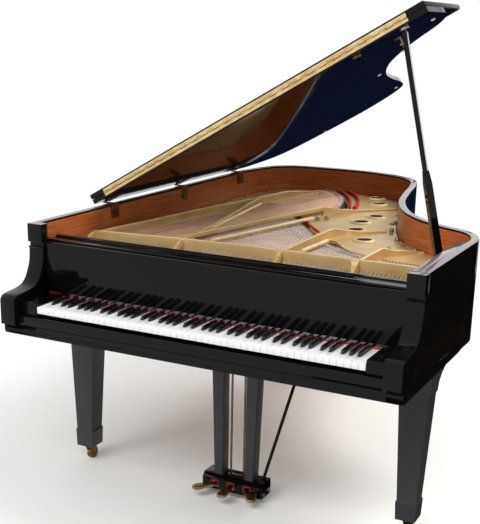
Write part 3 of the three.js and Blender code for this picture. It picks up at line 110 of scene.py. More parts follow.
def noiseOf(tree, place, size, **more):
    # Noise with features of that size in millimetres
    return addNode(tree, "TexNoise", {"Vector": place, "Scale": 1000 / size, **more}).outputs["Fac"]


def spread(tree, value, low, high, **more):
    # The middle of a noise's range, between low and high, stretched to 0 and 1 or to the ends given
    return addNode(tree, "MapRange", {"Value": value, "From Min": low, "From Max": high,
                                                **more}).outputs["Result"]


def patchiness(tree, place, size, low, high):
    # A value that wanders between low and high over patches of that size in millimetres
    return spread(tree, noiseOf(tree, place, size, Detail=3), 0.3, 0.7, **{"To Min": low, "To Max": high})


def bumpFrom(tree, shader, height, strength, distance):
    bump = addNode(tree, "Bump", {"Height": height, "Strength": strength, "Distance": distance / 1000})
    tree.links.new(bump.outputs["Normal"], shader.inputs["Normal"])


def blendColours(tree, factor, first, second):
    mix = addNode(tree, "Mix", data_type="RGBA")
    tree.links.new(factor, mix.inputs["Factor"])
    for socket, value in ((mix.inputs["A"], first), (mix.inputs["B"], second)):
        if isinstance(value, str):
            socket.default_value = toLinear(value)
        else:
            tree.links.new(value, socket)
    return mix.outputs["Result"]


def lacquerMaterial(name, look):
    # Black polyester, sprayed thick: buffed to a mirror on the case, rubbed to a satin on legs and lyre
    material, tree, shader, place = startMaterial(name, look["colour"], look["surface"])
    tree.links.new(patchiness(tree, place, look["markSize"], *look["rough"]), shader.inputs["Roughness"])
    bumpFrom(tree, shader, noiseOf(tree, place, look["rippleSize"], Detail=1), look["ripple"], 0.6)
    return material


def woodMaterial(name, look, coordinate="Object"):
    # Sliced veneer or sawn board: long streaks of darker pores, broad bands of colour and a thin clear finish
    material, tree, shader, place = startMaterial(name, look["light"], look["surface"])
    if coordinate == "UV":
        place = addNode(tree, "TexCoord").outputs["UV"]
    turned = addNode(tree, "Mapping", {"Vector": place, "Rotation": (0, 0, look.get("turn", 0)),
                                                 "Scale": (1 / look["stretch"], 1, 1)}).outputs["Vector"]
    streaks = noiseOf(tree, turned, look["grain"], Detail=4, Roughness=0.6)
    bands = noiseOf(tree, turned, look["band"], Detail=2)
    base = blendColours(tree, spread(tree, bands, 0.3, 0.7), look["light"], look["middle"])
    colour = blendColours(tree, spread(tree, streaks, 0.35, 0.68), base, look["dark"])
    tree.links.new(colour, shader.inputs["Base Color"])
    bumpFrom(tree, shader, streaks, 0.12, 0.15)
    return material


def bronzedIron(name, look):
    # Sand-cast iron under bronze powder lacquer: a soft metallic gold with the casting's fine pebbled skin
    material, tree, shader, place = startMaterial(name, look["colour"], {"Metallic": look["metallic"]})
    patch = patchiness(tree, place, look["patch"], 0, 1)
    tree.links.new(blendColours(tree, patch, look["colour"], look["shade"]), shader.inputs["Base Color"])
    tree.links.new(patchiness(tree, place, 20, *look["rough"]), shader.inputs["Roughness"])
    bumpFrom(tree, shader, noiseOf(tree, place, look["grit"], Detail=2), 0.12, 0.3)
    return material


def metalMaterial(name, colour, tarnish, patch, rough, brushed=None, metallic=1):
    # A base tone with tarnish in soft patches; brushed is the spacing of fine marks along X
    material, tree, shader, place = startMaterial(name, colour, {"Metallic": metallic})
    worn = patchiness(tree, place, patch, 0, 1)
    tree.links.new(blendColours(tree, worn, colour, tarnish), shader.inputs["Base Color"])
    tree.links.new(patchiness(tree, place, patch / 3, *rough), shader.inputs["Roughness"])
    if brushed:
        drawn = addNode(tree, "Mapping", {"Vector": place, "Scale": (0.02, 1, 1)}).outputs["Vector"]
        bumpFrom(tree, shader, noiseOf(tree, drawn, brushed), 0.08, 0.1)
    return material


def feltMaterial(name, colour, shade):
    # Pressed wool: a matt fuzzy surface, fibres in a random mat, drawn 1 mm coarse so that they show
    material, tree, shader, place = startMaterial(name, colour, {
        "Roughness": 0.95, "Sheen Weight": 0.08, "Sheen Roughness": 0.5})
    fibres = noiseOf(tree, place, 1, Detail=5, Distortion=1.5)
    tree.links.new(blendColours(tree, fibres, colour, shade), shader.inputs["Base Color"])
    bumpFrom(tree, shader, fibres, 0.5, 0.5)
    return material


def keyMaterial(name, colour, shade, surface):
    # Moulded plastic, polished on top and finely marked by fingers
    material, tree, shader, place = startMaterial(name, colour, surface)
    tree.links.new(blendColours(tree, patchiness(tree, place, 60, 0, 1), colour, shade), shader.inputs["Base Color"])
    tree.links.new(patchiness(tree, place, 30, surface["Roughness"], surface["Roughness"] + 0.1),
                   shader.inputs["Roughness"])
    bumpFrom(tree, shader, noiseOf(tree, place, 2.5, Detail=2), 0.04, 0.1)
    return material


blackLacquer = lacquerMaterial("black_polyester_lacquer", {
    "colour": "080808", "markSize": 140, "rough": (0.03, 0.07), "rippleSize": 70, "ripple": 0.03,
    "surface": {"IOR": 1.5, "Specular IOR Level": 0.18}})
satinLacquer = lacquerMaterial("black_satin_lacquer", {
    "colour": "343637", "markSize": 60, "rough": (0.36, 0.44), "rippleSize": 9, "ripple": 0.06,
    "surface": {"IOR": 1.5, "Specular IOR Level": 0.22}})
# Painted reflection: the upper faces of rim, arms and prop block get a pale grey lacquer that stands in for the pale
# room mirrored in them
paintedReflectionLacquer = lacquerMaterial("painted_reflection_top_lacquer", {
    "colour": "6e6265", "markSize": 90, "rough": (0.06, 0.12), "rippleSize": 220, "ripple": 0.02,
    "surface": {"IOR": 1.5, "Specular IOR Level": 1}})
# Pale lacquer for a painted highlight along one chamfer of the prop
paintedHighlightLacquer = lacquerMaterial("painted_highlight_lacquer", {
    "colour": "b4b4ba", "markSize": 60, "rough": (0.1, 0.18), "rippleSize": 120, "ripple": 0.02,
    "surface": {"IOR": 1.5}})
# Ribbon-cut mahogany veneer inside the rim, quarter-sawn spruce for the board, rock maple for bridges and rim
mahogany = woodMaterial("mahogany_veneer", {
    "light": "d27a42", "middle": "b8602f", "dark": "8c431c", "grain": 6, "band": 42, "stretch": 22,
    "surface": {"Roughness": 0.34, "Specular IOR Level": 0.3, "Coat Weight": 0.15, "Coat Roughness": 0.15}}, "UV")
spruce = woodMaterial("spruce_soundboard", {
    "light": "d9ab6f", "middle": "c99558", "dark": "b07c42", "grain": 3, "band": 30, "stretch": 30, "turn": 0.9,
    "surface": {"Roughness": 0.38, "Coat Weight": 0.3, "Coat Roughness": 0.15}})
maple = woodMaterial("rock_maple", {
    "light": "c9a271", "middle": "b98e5c", "dark": "9d7344", "grain": 3, "band": 24, "stretch": 14, "turn": 0.2,
    "surface": {"Roughness": 0.45}})
goldIron = bronzedIron("bronzed_cast_iron", {
    "colour": "e8cc92", "shade": "dab87a", "patch": 90, "grit": 2.2, "metallic": 0.55, "rough": (0.3, 0.42)})
# Pale gold: the colour of the pressure bars, and a painted highlight on the top faces of lips, collars and ribs
paleIronAndPaintedHighlight = bronzedIron("pale_bronzed_iron_and_painted_highlight", {
    "colour": "efdcae", "shade": "e2c890", "patch": 40, "grit": 1.6, "metallic": 0.35, "rough": (0.3, 0.4)})
# Painted shade: dark brown iron for the bore walls, where little light reaches
paintedShadeIron = bronzedIron("painted_shade_bore_iron", {
    "colour": "4a3a24", "shade": "2c2214", "patch": 30, "grit": 1.6, "metallic": 0.2, "rough": (0.5, 0.6)})
# Polished sheet brass and old brass gone brown, copper wound on steel, drawn wire, blued pins, plated bolts
brassSheet = metalMaterial("polished_brass", "ecd6a4", "cfae74", 30, (0.25, 0.4), brushed=0.8)
agedBrass = metalMaterial("aged_brass", "8a6c40", "5c4526", 14, (0.32, 0.5))
copperWinding = metalMaterial("copper_winding", "eec4a4", "dcaa88", 60, (0.4, 0.5), metallic=0.35)
musicWire = metalMaterial("music_wire", "f0e6e0", "d8c8be", 80, (0.25, 0.35), metallic=0.5)
# Dark blued steel for the tuning pins, also used as painted shade on the pin strip
bluedSteelAndPaintedShade = metalMaterial("blued_pin_steel_and_painted_shade", "303036", "1e1e22", 20, (0.35, 0.5), metallic=0.6)
plateSteel = metalMaterial("plated_bolt_steel", "b9b6ae", "8c8880", 12, (0.22, 0.34))
rodBrass = metalMaterial("tarnished_rod_brass", "9c8674", "7c6655", 40, (0.3, 0.42))
pedalBrass = metalMaterial("worn_pedal_brass", "b49c78", "7c684a", 24, (0.25, 0.42))
redFelt = feltMaterial("red_wool_felt", "c4302c", "9a1c1c")
# The bridges' caps are maple rubbed with graphite
greyMaple = woodMaterial("graphited_maple", {
    "light": "ded8d4", "middle": "c8c0ba", "dark": "a0978f", "grain": 3, "band": 18, "stretch": 10, "turn": 0.4,
    "surface": {"Roughness": 0.5}})
whiteFelt = feltMaterial("white_wool_felt", "ece6d8", "d3cbb9")
whiteKey = keyMaterial("white_acrylic", "e8e7ea", "e2e0e0", {"Roughness": 0.16, "IOR": 1.49})
blackKey = keyMaterial("black_phenolic", "0d0d0e", "131313", {"Roughness": 0.14, "IOR": 1.5})

print("materials made")


# Modelling helpers; all sizes in millimetres

def facesOut(bm):
    bmesh.ops.recalc_face_normals(bm, faces=bm.faces)


def paintFaces(bm, slot, test):
    # Gives the material slot to the faces whose normal and centre pass the test
    for face in bm.faces:
        if test(face.normal, face.calc_center_median()):
            face.material_index = slot


def newObject(bm, name, materials):
    mesh = bpy.data.meshes.new(name)
    bm.to_mesh(mesh)
    bm.free()
    for material in materials:
        mesh.materials.append(material)
    made = bpy.data.objects.new(name, mesh)
    scene.collection.objects.link(made)
    return made


def addPiece(bm, name, materials, body="case", replaces=(), turn=None, smoothBelow=32, recalculate=True):
    if recalculate:
        facesOut(bm)
    bmesh.ops.transform(bm, matrix=toRow @ (turn or Matrix()), verts=bm.verts)
    piece = newObject(bm, name, materials if isinstance(materials, list) else [materials])
    piece.data.polygons.foreach_set("use_smooth", [True] * len(piece.data.polygons))
    piece.data.set_sharp_from_angle(angle=radians(smoothBelow))
    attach(piece, body)
    if replaces:
        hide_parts(*replaces)
    return piece


def softenEdges(bm, width, segments=2, above=30, test=None):
    edges = [edge for edge in bm.edges if len(edge.link_faces) == 2
             and edge.calc_face_angle(0) > radians(above) and (test is None or test(edge))]
    bmesh.ops.bevel(bm, geom=edges, offset=width, offset_type="OFFSET", segments=segments, profile=0.5,
                    affect="EDGES", material=-1, clamp_overlap=True)


def allAbove(height):
    return lambda e: all(v.co.z > height for v in e.verts)


def allBelow(height):
    return lambda e: all(v.co.z < height for v in e.verts)


def rise(edge):
    return abs(edge.verts[0].co.z - edge.verts[1].co.z)


def cadCopy(node):
    bm = bmesh.new()
    bm.from_mesh(frame["nodes"][node].data)
    bmesh.ops.transform(bm, matrix=fromRow, verts=bm.verts)
    bmesh.ops.remove_doubles(bm, verts=bm.verts, dist=0.02)
    bmesh.ops.dissolve_limit(bm, angle_limit=radians(0.6), verts=bm.verts, edges=bm.edges)
    return bm


def refined(node, material, width, segments):
    bm = cadCopy(node)
    softenEdges(bm, width, segments, 25)
    return addPiece(bm, f"{node}_finished", material, frame["nodes"][node]["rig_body"], [node])


def lift(bm, faces, offset):
    lifted = bmesh.ops.extrude_face_region(bm, geom=faces)["geom"]
    verts = [v for v in lifted if isinstance(v, bmesh.types.BMVert)]
    bmesh.ops.translate(bm, vec=offset, verts=verts)
    return verts


# Painted reflection: upward faces at the case's top height take the pale lacquer slot
def paintTopReflection(bm, slot):
    facesOut(bm)
    paintFaces(bm, slot, lambda normal, centre: normal.z > 0.9 and centre.z > case["top"] - 4)


def slab(bm, points, low, high):
    face = bm.faces.new([bm.verts.new((x, y, low)) for x, y in points])
    return lift(bm, [face], (0, 0, high - low))


def pierced(bm, loops, low, high):
    # A slab whose first loop is its edge and whose other loops are openings
    for loop in loops:
        verts = [bm.verts.new((x, y, low)) for x, y in loop]
        for a, b in zip(verts, verts[1:] + verts[:1]):
            bm.edges.new((a, b))
    bmesh.ops.triangle_fill(bm, use_beauty=True, edges=bm.edges[:], normal=(0, 0, 1))
    return lift(bm, bm.faces[:], (0, 0, high - low))


def turned(bm, centre, profile, steps, axis=(0, 0, 1), start=(1, 0, 0)):
    # A closed profile of radius and height pairs, spun about an axis
    up, out = Vector(axis), Vector(start)
    verts = [bm.verts.new(Vector(centre) + out * r + up * h) for r, h in profile]
    edges = [bm.edges.new(pair) for pair in zip(verts, verts[1:] + verts[:1])]
    bmesh.ops.spin(bm, geom=verts + edges, cent=centre, axis=axis, angle=2 * pi, steps=steps, use_merge=True)
    bmesh.ops.remove_doubles(bm, verts=bm.verts, dist=0.001)


def pour(target, bm):
    mesh = bpy.data.meshes.new("poured")
    bm.to_mesh(mesh)
    bm.free()
    target.from_mesh(mesh)
    bpy.data.meshes.remove(mesh)


def softSlab(target, points, low, high, width, test=None):
    part = bmesh.new()
    slab(part, points, low, high)
    softenEdges(part, width, 3, 40, test)
    pour(target, part)


def valueAt(pairs, share):
    # Eased reading of a list of share and value pairs
    for (a, low), (b, high) in zip(pairs, pairs[1:]):
        if share <= b:
            t = min(max((share - a) / (b - a), 0), 1)
            return low + (high - low) * t * t * (3 - 2 * t)
    return pairs[-1][1]


def block(bm, xs, ys, zs):
    size = [b - a for a, b in (xs, ys, zs)]
    centre = [(a + b) / 2 for a, b in (xs, ys, zs)]
    return bmesh.ops.create_cube(bm, size=1, matrix=Matrix.Translation(centre) @ Matrix.Diagonal((*size, 1)))["verts"]


def rod(bm, start, end, radius, sides, endRadius=None):
    start, end = Vector(start), Vector(end)
    along = end - start
    turn = along.to_track_quat("Z", "Y").to_matrix().to_4x4()
    return bmesh.ops.create_cone(bm, cap_ends=True, segments=sides, radius1=radius,
                                 radius2=radius if endRadius is None else endRadius, depth=along.length,
                                 matrix=Matrix.Translation((start + end) / 2) @ turn)["verts"]


def smoothCurve(points, count):
    # Evenly spaced points on a curve through all the given ones
    points = [Vector(p) for p in points]
    ends = [2 * points[0] - points[1]] + points + [2 * points[-1] - points[-2]]
    dense = []
    for a, b, c, d in zip(ends, ends[1:], ends[2:], ends[3:]):
        for step in range(24):
            t = step / 24
            dense.append(0.5 * (2 * b + (c - a) * t + (2 * a - 5 * b + 4 * c - d) * t ** 2
                                + (3 * b - a - 3 * c + d) * t ** 3))
    dense.append(points[-1])
    return evenPoints(dense, count)


def evenPoints(points, count):
    lengths = [0]
    for a, b in zip(points, points[1:]):
        lengths.append(lengths[-1] + (b - a).length)
    even = []
    i = 0
    for step in range(count + 1):
        goal = lengths[-1] * step / count
        while i < len(points) - 2 and lengths[i + 1] < goal:
            i += 1
        share = (goal - lengths[i]) / max(lengths[i + 1] - lengths[i], 1e-9)
        even.append(points[i].lerp(points[i + 1], min(max(share, 0), 1)))
    return even


def ribbon(points, width):
    # The edge of a strip of that width along a plan line
    left, right = [], []
    for i, point in enumerate(points):
        along = (points[min(i + 1, len(points) - 1)] - points[max(i - 1, 0)]).normalized()
        across = Vector((-along.y, along.x)) * width / 2
        left.append(tuple(point + across))
        right.append(tuple(point - across))
    return left + right[::-1]


def nearestOnChain(point, chain):
    # Distance to a chain of points, and how far along it the nearest place is
    best, along, run = 1e9, 0, 0
    for a, b in zip(chain, chain[1:]):
        side = b - a
        length = side.length
        t = min(max((point - a).dot(side) / max(length * length, 1e-9), 0), 1)
        gap = (a + side * t - point).length
        if gap < best:
            best, along = gap, run + length * t
        run += length
    return best, along


# Case outline: shares of the half width and of the tail's reach, bass to treble round the tail
outlineShares = [
    (-1, 0.66), (-1, 0.76), (-0.997, 0.838), (-0.941, 0.926), (-0.856, 0.972), (-0.698, 0.992), (-0.457, 1),
    (-0.204, 0.9945), (0.001, 0.967), (0.14, 0.921), (0.2146, 0.8434), (0.274, 0.7407), (0.359, 0.626),
    (0.505, 0.52), (0.7085, 0.4477), (0.912, 0.4044), (0.993, 0.3533), (1, 0.2962), (1, 0.24)]


def plan(share):
    return Vector((share[0] * case["halfWidth"], share[1] * case["tailReach"]))


def planCurve(shares, count):
    return smoothCurve([plan(share) for share in shares], count)


def openingLine(shares):
    corners = [plan(share) for share in shares]
    return evenPoints(corners + corners[:1], 90)


outlineChain = planCurve(outlineShares, case["outlineSteps"])


def outline(inset, frontY):
    # The outline moved inwards, with its straight sides starting at frontY
    moved = []
    for i, point in enumerate(outlineChain):
        before, after = outlineChain[max(i - 1, 0)], outlineChain[min(i + 1, len(outlineChain) - 1)]
        along = (after - before).normalized()
        moved.append(Vector((point.x + along.y * inset, point.y - along.x * inset)))
    kept = [p for p in moved if p.y > frontY + 0.3 and nearestOnChain(p, outlineChain)[0] > abs(inset) - 0.3]
    half = case["halfWidth"] - inset
    return [(-half, frontY)] + [(p.x, p.y) for p in kept] + [(half, frontY)]


def addGrainUv(bm, chain, faces):
    # Length along the chain becomes U and height becomes V, both in metres
    layer = bm.loops.layers.uv.verify()
    for face in faces:
        for loop in face.loops:
            along = nearestOnChain(Vector(loop.vert.co.xy), chain)[1]
            loop[layer].uv = (along / 1000, loop.vert.co.z / 1000)


# Rim: black outside and on top, mahogany veneer inside
rim = {"skin": 0.4, "armInner": 680, "armFaceY": 130, "armBackY": 165, "bedTop": 657, "veneerBelow": 981,
           "veneerBehind": 170}


def buildRim():
    bm = bmesh.new()
    outer = outline(rim["skin"], rim["armBackY"] - 1)
    inner = outline(case["thickness"], rim["armBackY"] - 1)
    slab(bm, outer + inner[::-1], case["bottom"], case["top"])
    softenEdges(bm, case["edgeRound"], 3, 40, lambda e: allAbove(case["top"] - 0.1)(e)
                or allBelow(case["bottom"] + 0.1)(e))
    chain = [Vector(p) for p in inner]
    facesOut(bm)
    bmesh.ops.bisect_plane(bm, geom=bm.verts[:] + bm.edges[:] + bm.faces[:], plane_no=(0, 0, 1),
                           plane_co=(0, 0, rim["veneerBelow"]))
    veneered = []
    for face in bm.faces:
        centre = face.calc_center_median()
        distance = nearestOnChain(Vector(centre.xy), chain)[0]
        inside = centre.z < rim["veneerBelow"] and centre.y > rim["veneerBehind"]
        if inside and distance < 4 and abs(face.normal.z) < 0.3:
            face.material_index = 1
            veneered.append(face)
    # Painted reflection on the rim's top faces
    paintTopReflection(bm, 2)
    addGrainUv(bm, chain, veneered)
    return addPiece(bm, "rim_shell", [blackLacquer, mahogany, paintedReflectionLacquer], "case", ["case_rim"],
                    recalculate=False)


def buildArms():
    low, top, back = rim["bedTop"], case["top"], rim["armBackY"] + 1
    height, run = top - low, back - 1 + case["armReach"]
    shares = [(0, 0.06), (0, 0.26), (0.025, 0.29), (0.09, 0.315), (0.2, 0.325), (0.41, 0.337), (0.58, 0.36),
              (0.69, 0.41), (0.76, 0.475), (0.81, 0.54), (0.84, 0.6), (0.852, 0.66), (0.856, 0.71), (0.852, 0.735),
              (0.836, 0.745), (0.836, 0.752), (0.885, 0.756), (0.885, 0.8), (0.826, 0.803)]
    profile = [(-case["armReach"] + a * run, low + b * height) for a, b in shares]
    smooth = smoothCurve(profile[1:13], 44)
    points = [(-case["armReach"], low + 0.3)] + [tuple(p) for p in smooth] + profile[13:] \
        + [(rim["armFaceY"], top), (back, top), (back, low + 0.3)]
    for side, name in ((-1, "left"), (1, "right")):
        bm = bmesh.new()
        inner, outer = rim["armInner"], case["halfWidth"]
        face = bm.faces.new([bm.verts.new((side * inner, y, z)) for y, z in points])
        lift(bm, [face], (side * (outer - inner), 0, 0))
        softenEdges(bm, case["edgeRound"], 3, 40)
        # Painted reflection on the arm's top faces
        paintTopReflection(bm, 1)
        addPiece(bm, f"arm_{name}", [blackLacquer, paintedReflectionLacquer])


buildRim()
buildArms()
print("rim made")


# Lid and its front flap, drawn closed and then turned open: square along the front, rounded along the other edges
def lidEdge(edge):
    return all(v.co.y > lid["frontY"] + 1 for v in edge.verts)


def buildLid():
    bm = bmesh.new()
    edge = [(max(x, lid["bassEdge"]), y) for x, y in outline(-lid["overhang"], lid["frontY"])]
    slab(bm, edge, lid["under"], lid["top"])
    softenEdges(bm, lid["sideRound"], 4, 40, lambda e: lidEdge(e) and rise(e) < 0.1)
    softenEdges(bm, 1, 2, 40, lambda e: not lidEdge(e))
    addPiece(bm, "lid_panel", blackLacquer, "lid", ["lid_main"], lidOpen)
    half = case["halfWidth"] + lid["overhang"]
    far = lid["frontY"] + lid["flapLength"]
    r = lid["cornerRadius"]
    corners = []
    for cx, start in ((half - r, 0), (-half + r, 90)):
        for step in range(9):
            angle = radians(start + step * 11.25)
            corners.append((cx + r * cos(angle), far - r + r * sin(angle)))
    low = lid["top"] + lid["flapGap"]
    bm = bmesh.new()
    slab(bm, [(-half, lid["frontY"]), (half, lid["frontY"])] + corners, low, low + lid["top"] - lid["under"])
    softenEdges(bm, lid["sideRound"], 4, 40, lambda e: rise(e) < 0.1
                and max(v.co.y for v in e.verts) > lid["frontY"] + 1)
    softenEdges(bm, 1, 2, 40, lambda e: not lidEdge(e))
    addPiece(bm, "flap_panel", blackLacquer, "lid_flap", ["lid_flap"], lidOpen)


# Long brass hinge between lid and flap: two leaves of sheet, rolled knuckles and countersunk screws
def buildFlapHinge():
    look = {"half": 682.6, "reach": 14, "leaf": 1.6, "radius": 2.5, "barrels": 52, "gap": 0.8, "screws": 15,
            "back": 550.7, "axisY": 547.9, "axisZ": 1011.8}
    half, back, leaf, gap, radius, axisY, axisZ = (look[key] for key in (
        "half", "back", "leaf", "gap", "radius", "axisY", "axisZ"))
    pitch = 2 * half / look["barrels"]
    for side, name, body, node in ((-1, "hinge_leaf_lower", "lid", "lid_hinge_leaf"),
                                   (1, "hinge_leaf_upper", "lid_flap", "flap_hinge_leaf")):
        bm = bmesh.new()
        zs = sorted((axisZ + side * (radius + 1), axisZ + side * look["reach"]))
        block(bm, (-half, half), (back - leaf, back), zs)
        softenEdges(bm, 0.4, 2, 40)
        for i in range(look["barrels"]):
            if i % 2 != (side > 0):
                continue
            x = -half + i * pitch
            rod(bm, (x + gap, axisY, axisZ),
                (x + pitch - gap, axisY, axisZ), radius, 12)
            block(bm, (x + gap, x + pitch - gap), (back - leaf, back),
                  sorted((axisZ, axisZ + side * (radius + 1.4))))
        for i in range(look["screws"]):
            x = half * (2 * (i + 0.5) / look["screws"] - 1)
            turned(bm, (x, back - leaf, sum(zs) / 2),
                   [(0.6, 0.5), (2.6, 0.35), (3.2, -0.3), (0.6, -0.3)], 10, (0, -1, 0))
        addPiece(bm, name, brassSheet, body, [node], lidOpen)


buildLid()
buildFlapHinge()
print("lid made")


# Three hinges on the bass side: leaves with rounded lower corners, held by six screws each
def buildSideHinges():
    look = {"ys": (640.4, 1194, 1736.8), "setIns": (0, 0, 1.6), "inner": -710.7, "leaf": 2.5, "corner": 9,
            "screws": [(dy, z) for z in (978, 962, 946) for dy in (-12, 12)]}
    for name, y, setIn in zip(("front", "middle", "rear"), look["ys"], look["setIns"]):
        bm = cadCopy(f"rim_hinge_{name}")
        softenEdges(bm, look["corner"], 4, 40, lambda e: allBelow(936)(e)
                    and abs(e.verts[0].co.x - e.verts[1].co.x) > 1)
        softenEdges(bm, 0.5, 2, 40)
        addPiece(bm, f"rim_hinge_{name}_finished", agedBrass, "case", [f"rim_hinge_{name}"])
        bm = bmesh.new()
        for dy, z in look["screws"]:
            turned(bm, (look["inner"] + look["leaf"] + setIn, y + dy, z),
                   [(0.5, 1.1), (2.6, 0.8), (4, 0), (4, -0.4), (0.5, -0.4)], 12, (1, 0, 0), (0, 1, 0))
        addPiece(bm, f"rim_hinge_{name}_screws", plateSteel)
        refined(f"lid_hinge_{name}", agedBrass, 0.5, 2)


# Rubber buttons on the lid's underside, which rest on the rim when it is closed, and a small brass hook
def buildLidButtons():
    look = {"places": [(272, 1291), (102, 1940), (-395, 2140), (706, 739)], "hook": (539, 867)}
    bm = bmesh.new()
    for x, y in look["places"]:
        turned(bm, (x, y, lid["under"]), [(0.5, 0.5), (8, 0.5), (8, -1.2), (6.5, -2.6), (0.5, -2.8)], 20)
    addPiece(bm, "lid_buttons", whiteFelt, "lid", turn=lidOpen)
    bm = bmesh.new()
    x, y = look["hook"]
    turned(bm, (x, y, lid["under"]), [(0.5, 0.5), (11, 0.5), (11, -2), (9.5, -2.6), (0.5, -2.6)], 24)
    rod(bm, (x, y, lid["under"] - 2), (x, y, lid["under"] - 24), 3, 12)
    rod(bm, (x, y, lid["under"] - 22.5), (x - 20, y, lid["under"] - 22.5), 3, 12)
    addPiece(bm, "lid_hook", brassSheet, "lid", turn=lidOpen)


buildSideHinges()
buildLidButtons()
print("side hinges made")

# Iron plate: a cast deck with openings, a tall web, struts with rounded tops, and gussets that flare into the web
plate = {"deckLow": 856, "deckTop": 870, "panelTop": 845, "panelLow": 833.3, "panelFront": 296, "ribTop": 909,
             "edgeInset": 34, "webWidth": 10, "ribWidth": 14}
webShares = [(-0.951, 0.225), (-0.464, 0.2515), (-0.1525, 0.2602), (0.951, 0.2616)]
webLine = [plan(share) for share in webShares]
openingShares = {
    "front": [(-0.905, 0.262), (-0.825, 0.43), (-0.79, 0.53), (-0.69, 0.73), (-0.672, 0.765), (-0.46, 0.71),
              (-0.205, 0.607), (-0.115, 0.54), (-0.02, 0.497), (0.05, 0.463), (0.054, 0.35), (0.058, 0.27),
              (-0.15, 0.27), (-0.45, 0.262)],
    "tail": [(-0.648, 0.815), (-0.59, 0.92), (-0.545, 0.962), (-0.46, 0.962), (-0.356, 0.926), (-0.242, 0.852),
             (-0.155, 0.777), (-0.2, 0.728), (-0.262, 0.7), (-0.45, 0.768)],
    "treble": [(0.105, 0.27), (0.102, 0.35), (0.102, 0.46), (0.148, 0.455), (0.243, 0.41), (0.382, 0.359),
               (0.465, 0.338), (0.465, 0.27)],
    "top": [(0.515, 0.27), (0.515, 0.335), (0.7, 0.322), (0.89, 0.314), (0.89, 0.27)]}
holeShares = [(-0.151, 0.953), (-0.06, 0.8816), (0.08, 0.7287), (0.065, 0.6545), (0.124, 0.573), (0.269, 0.488)]
# Each rib: its plan line, the height of its foot and its top along its length
ribList = [
    ([(-0.938, 0.229), (-0.86, 0.4316), (-0.827, 0.534), (-0.723, 0.738), (-0.694, 0.802), (-0.623, 0.928),
      (-0.585, 0.968)], 869, [(0, 905), (0.8, 905), (1, 880)]),
    ([(-0.47, 0.262), (-0.503, 0.35), (-0.609, 0.543), (-0.723, 0.738)], 888, [(0, 905), (1, 905)]),
    ([(-0.52, 0.256), (-0.455, 0.36), (-0.232, 0.6965)], 888, [(0, 905), (1, 905)]),
    ([(-0.232, 0.6965), (-0.178, 0.715), (-0.128, 0.721), (-0.065, 0.768), (0.107, 0.837)], 869,
     [(0, 905), (0.25, 893), (0.5, 881), (1, 877)]),
    ([(0.084, 0.262), (0.078, 0.341), (0.078, 0.47), (0.085, 0.487)], 869, [(0, 905), (1, 905)]),
    ([(0.085, 0.487), (0.12, 0.516), (0.157, 0.524), (0.25, 0.572), (0.294, 0.586)], 869,
     [(0, 905), (0.3, 893), (0.6, 881), (1, 877)]),
    ([(0.487, 0.262), (0.49, 0.373)], 869, [(0, 905), (1, 905)]),
    ([(0.49, 0.373), (0.521, 0.387), (0.603, 0.427), (0.65, 0.44)], 869, [(0, 905), (0.35, 892), (1, 878)])]


def buildPlateDeck():
    look = {"boreRadius": 33, "lipWidth": 7, "lipHeight": 2.2, "lipRound": 1.8, "collar": [
        (31, -14), (31, 4), (32.5, 6.6), (35.5, 7), (39, 5.4), (44, 2.2), (52, 0.4), (52, -1), (33, -1.5)]}
    loops = [outline(plate["edgeInset"], webLine[3].y)[1:-1]]
    half, top = case["halfWidth"] - plate["edgeInset"], plate["deckTop"]
    loops[0] = [(-half, webLine[0].y)] + loops[0] + [(half, webLine[3].y)] + [tuple(p) for p in webLine[::-1]]
    for shares in openingShares.values():
        loops.append([tuple(p) for p in openingLine(shares)[:-1]])
    bores = [plan(share) for share in holeShares]
    for centre in bores:
        loops.append([(centre.x + look["boreRadius"] * cos(radians(a)),
                       centre.y + look["boreRadius"] * sin(radians(a))) for a in range(0, 360, 10)])
    bm = bmesh.new()
    pierced(bm, loops, plate["deckLow"], top)
    # Rolled lips round the openings and dished collars round the bores
    for shares in openingShares.values():
        softSlab(bm, ribbon(openingLine(shares), look["lipWidth"]), top - 3, top + look["lipHeight"],
                 look["lipRound"], allAbove(top))
    for centre in bores:
        turned(bm, (centre.x, centre.y, top), look["collar"], 36)
    panel = [(-half, plate["panelFront"]), (half, plate["panelFront"]), (half, webLine[3].y)] \
        + [tuple(p) for p in webLine[::-1]] + [(-half, webLine[0].y)]
    slab(bm, panel, plate["panelLow"], plate["panelTop"])
    facesOut(bm)
    # Painted highlight on the tops of the lips and collars
    paintFaces(bm, 2, lambda normal, centre: centre.z > top + look["lipHeight"] - 0.3)
    # Painted shade on the upright walls of the bores
    paintFaces(bm, 1, lambda normal, centre: abs(normal.z) < 0.3 and min(
        (centre.xy - bore).length for bore in bores) < look["boreRadius"] + 0.2)
    addPiece(bm, "plate_deck", [goldIron, paintedShadeIron, paleIronAndPaintedHighlight], "case", ["iron_plate"], smoothBelow=50)


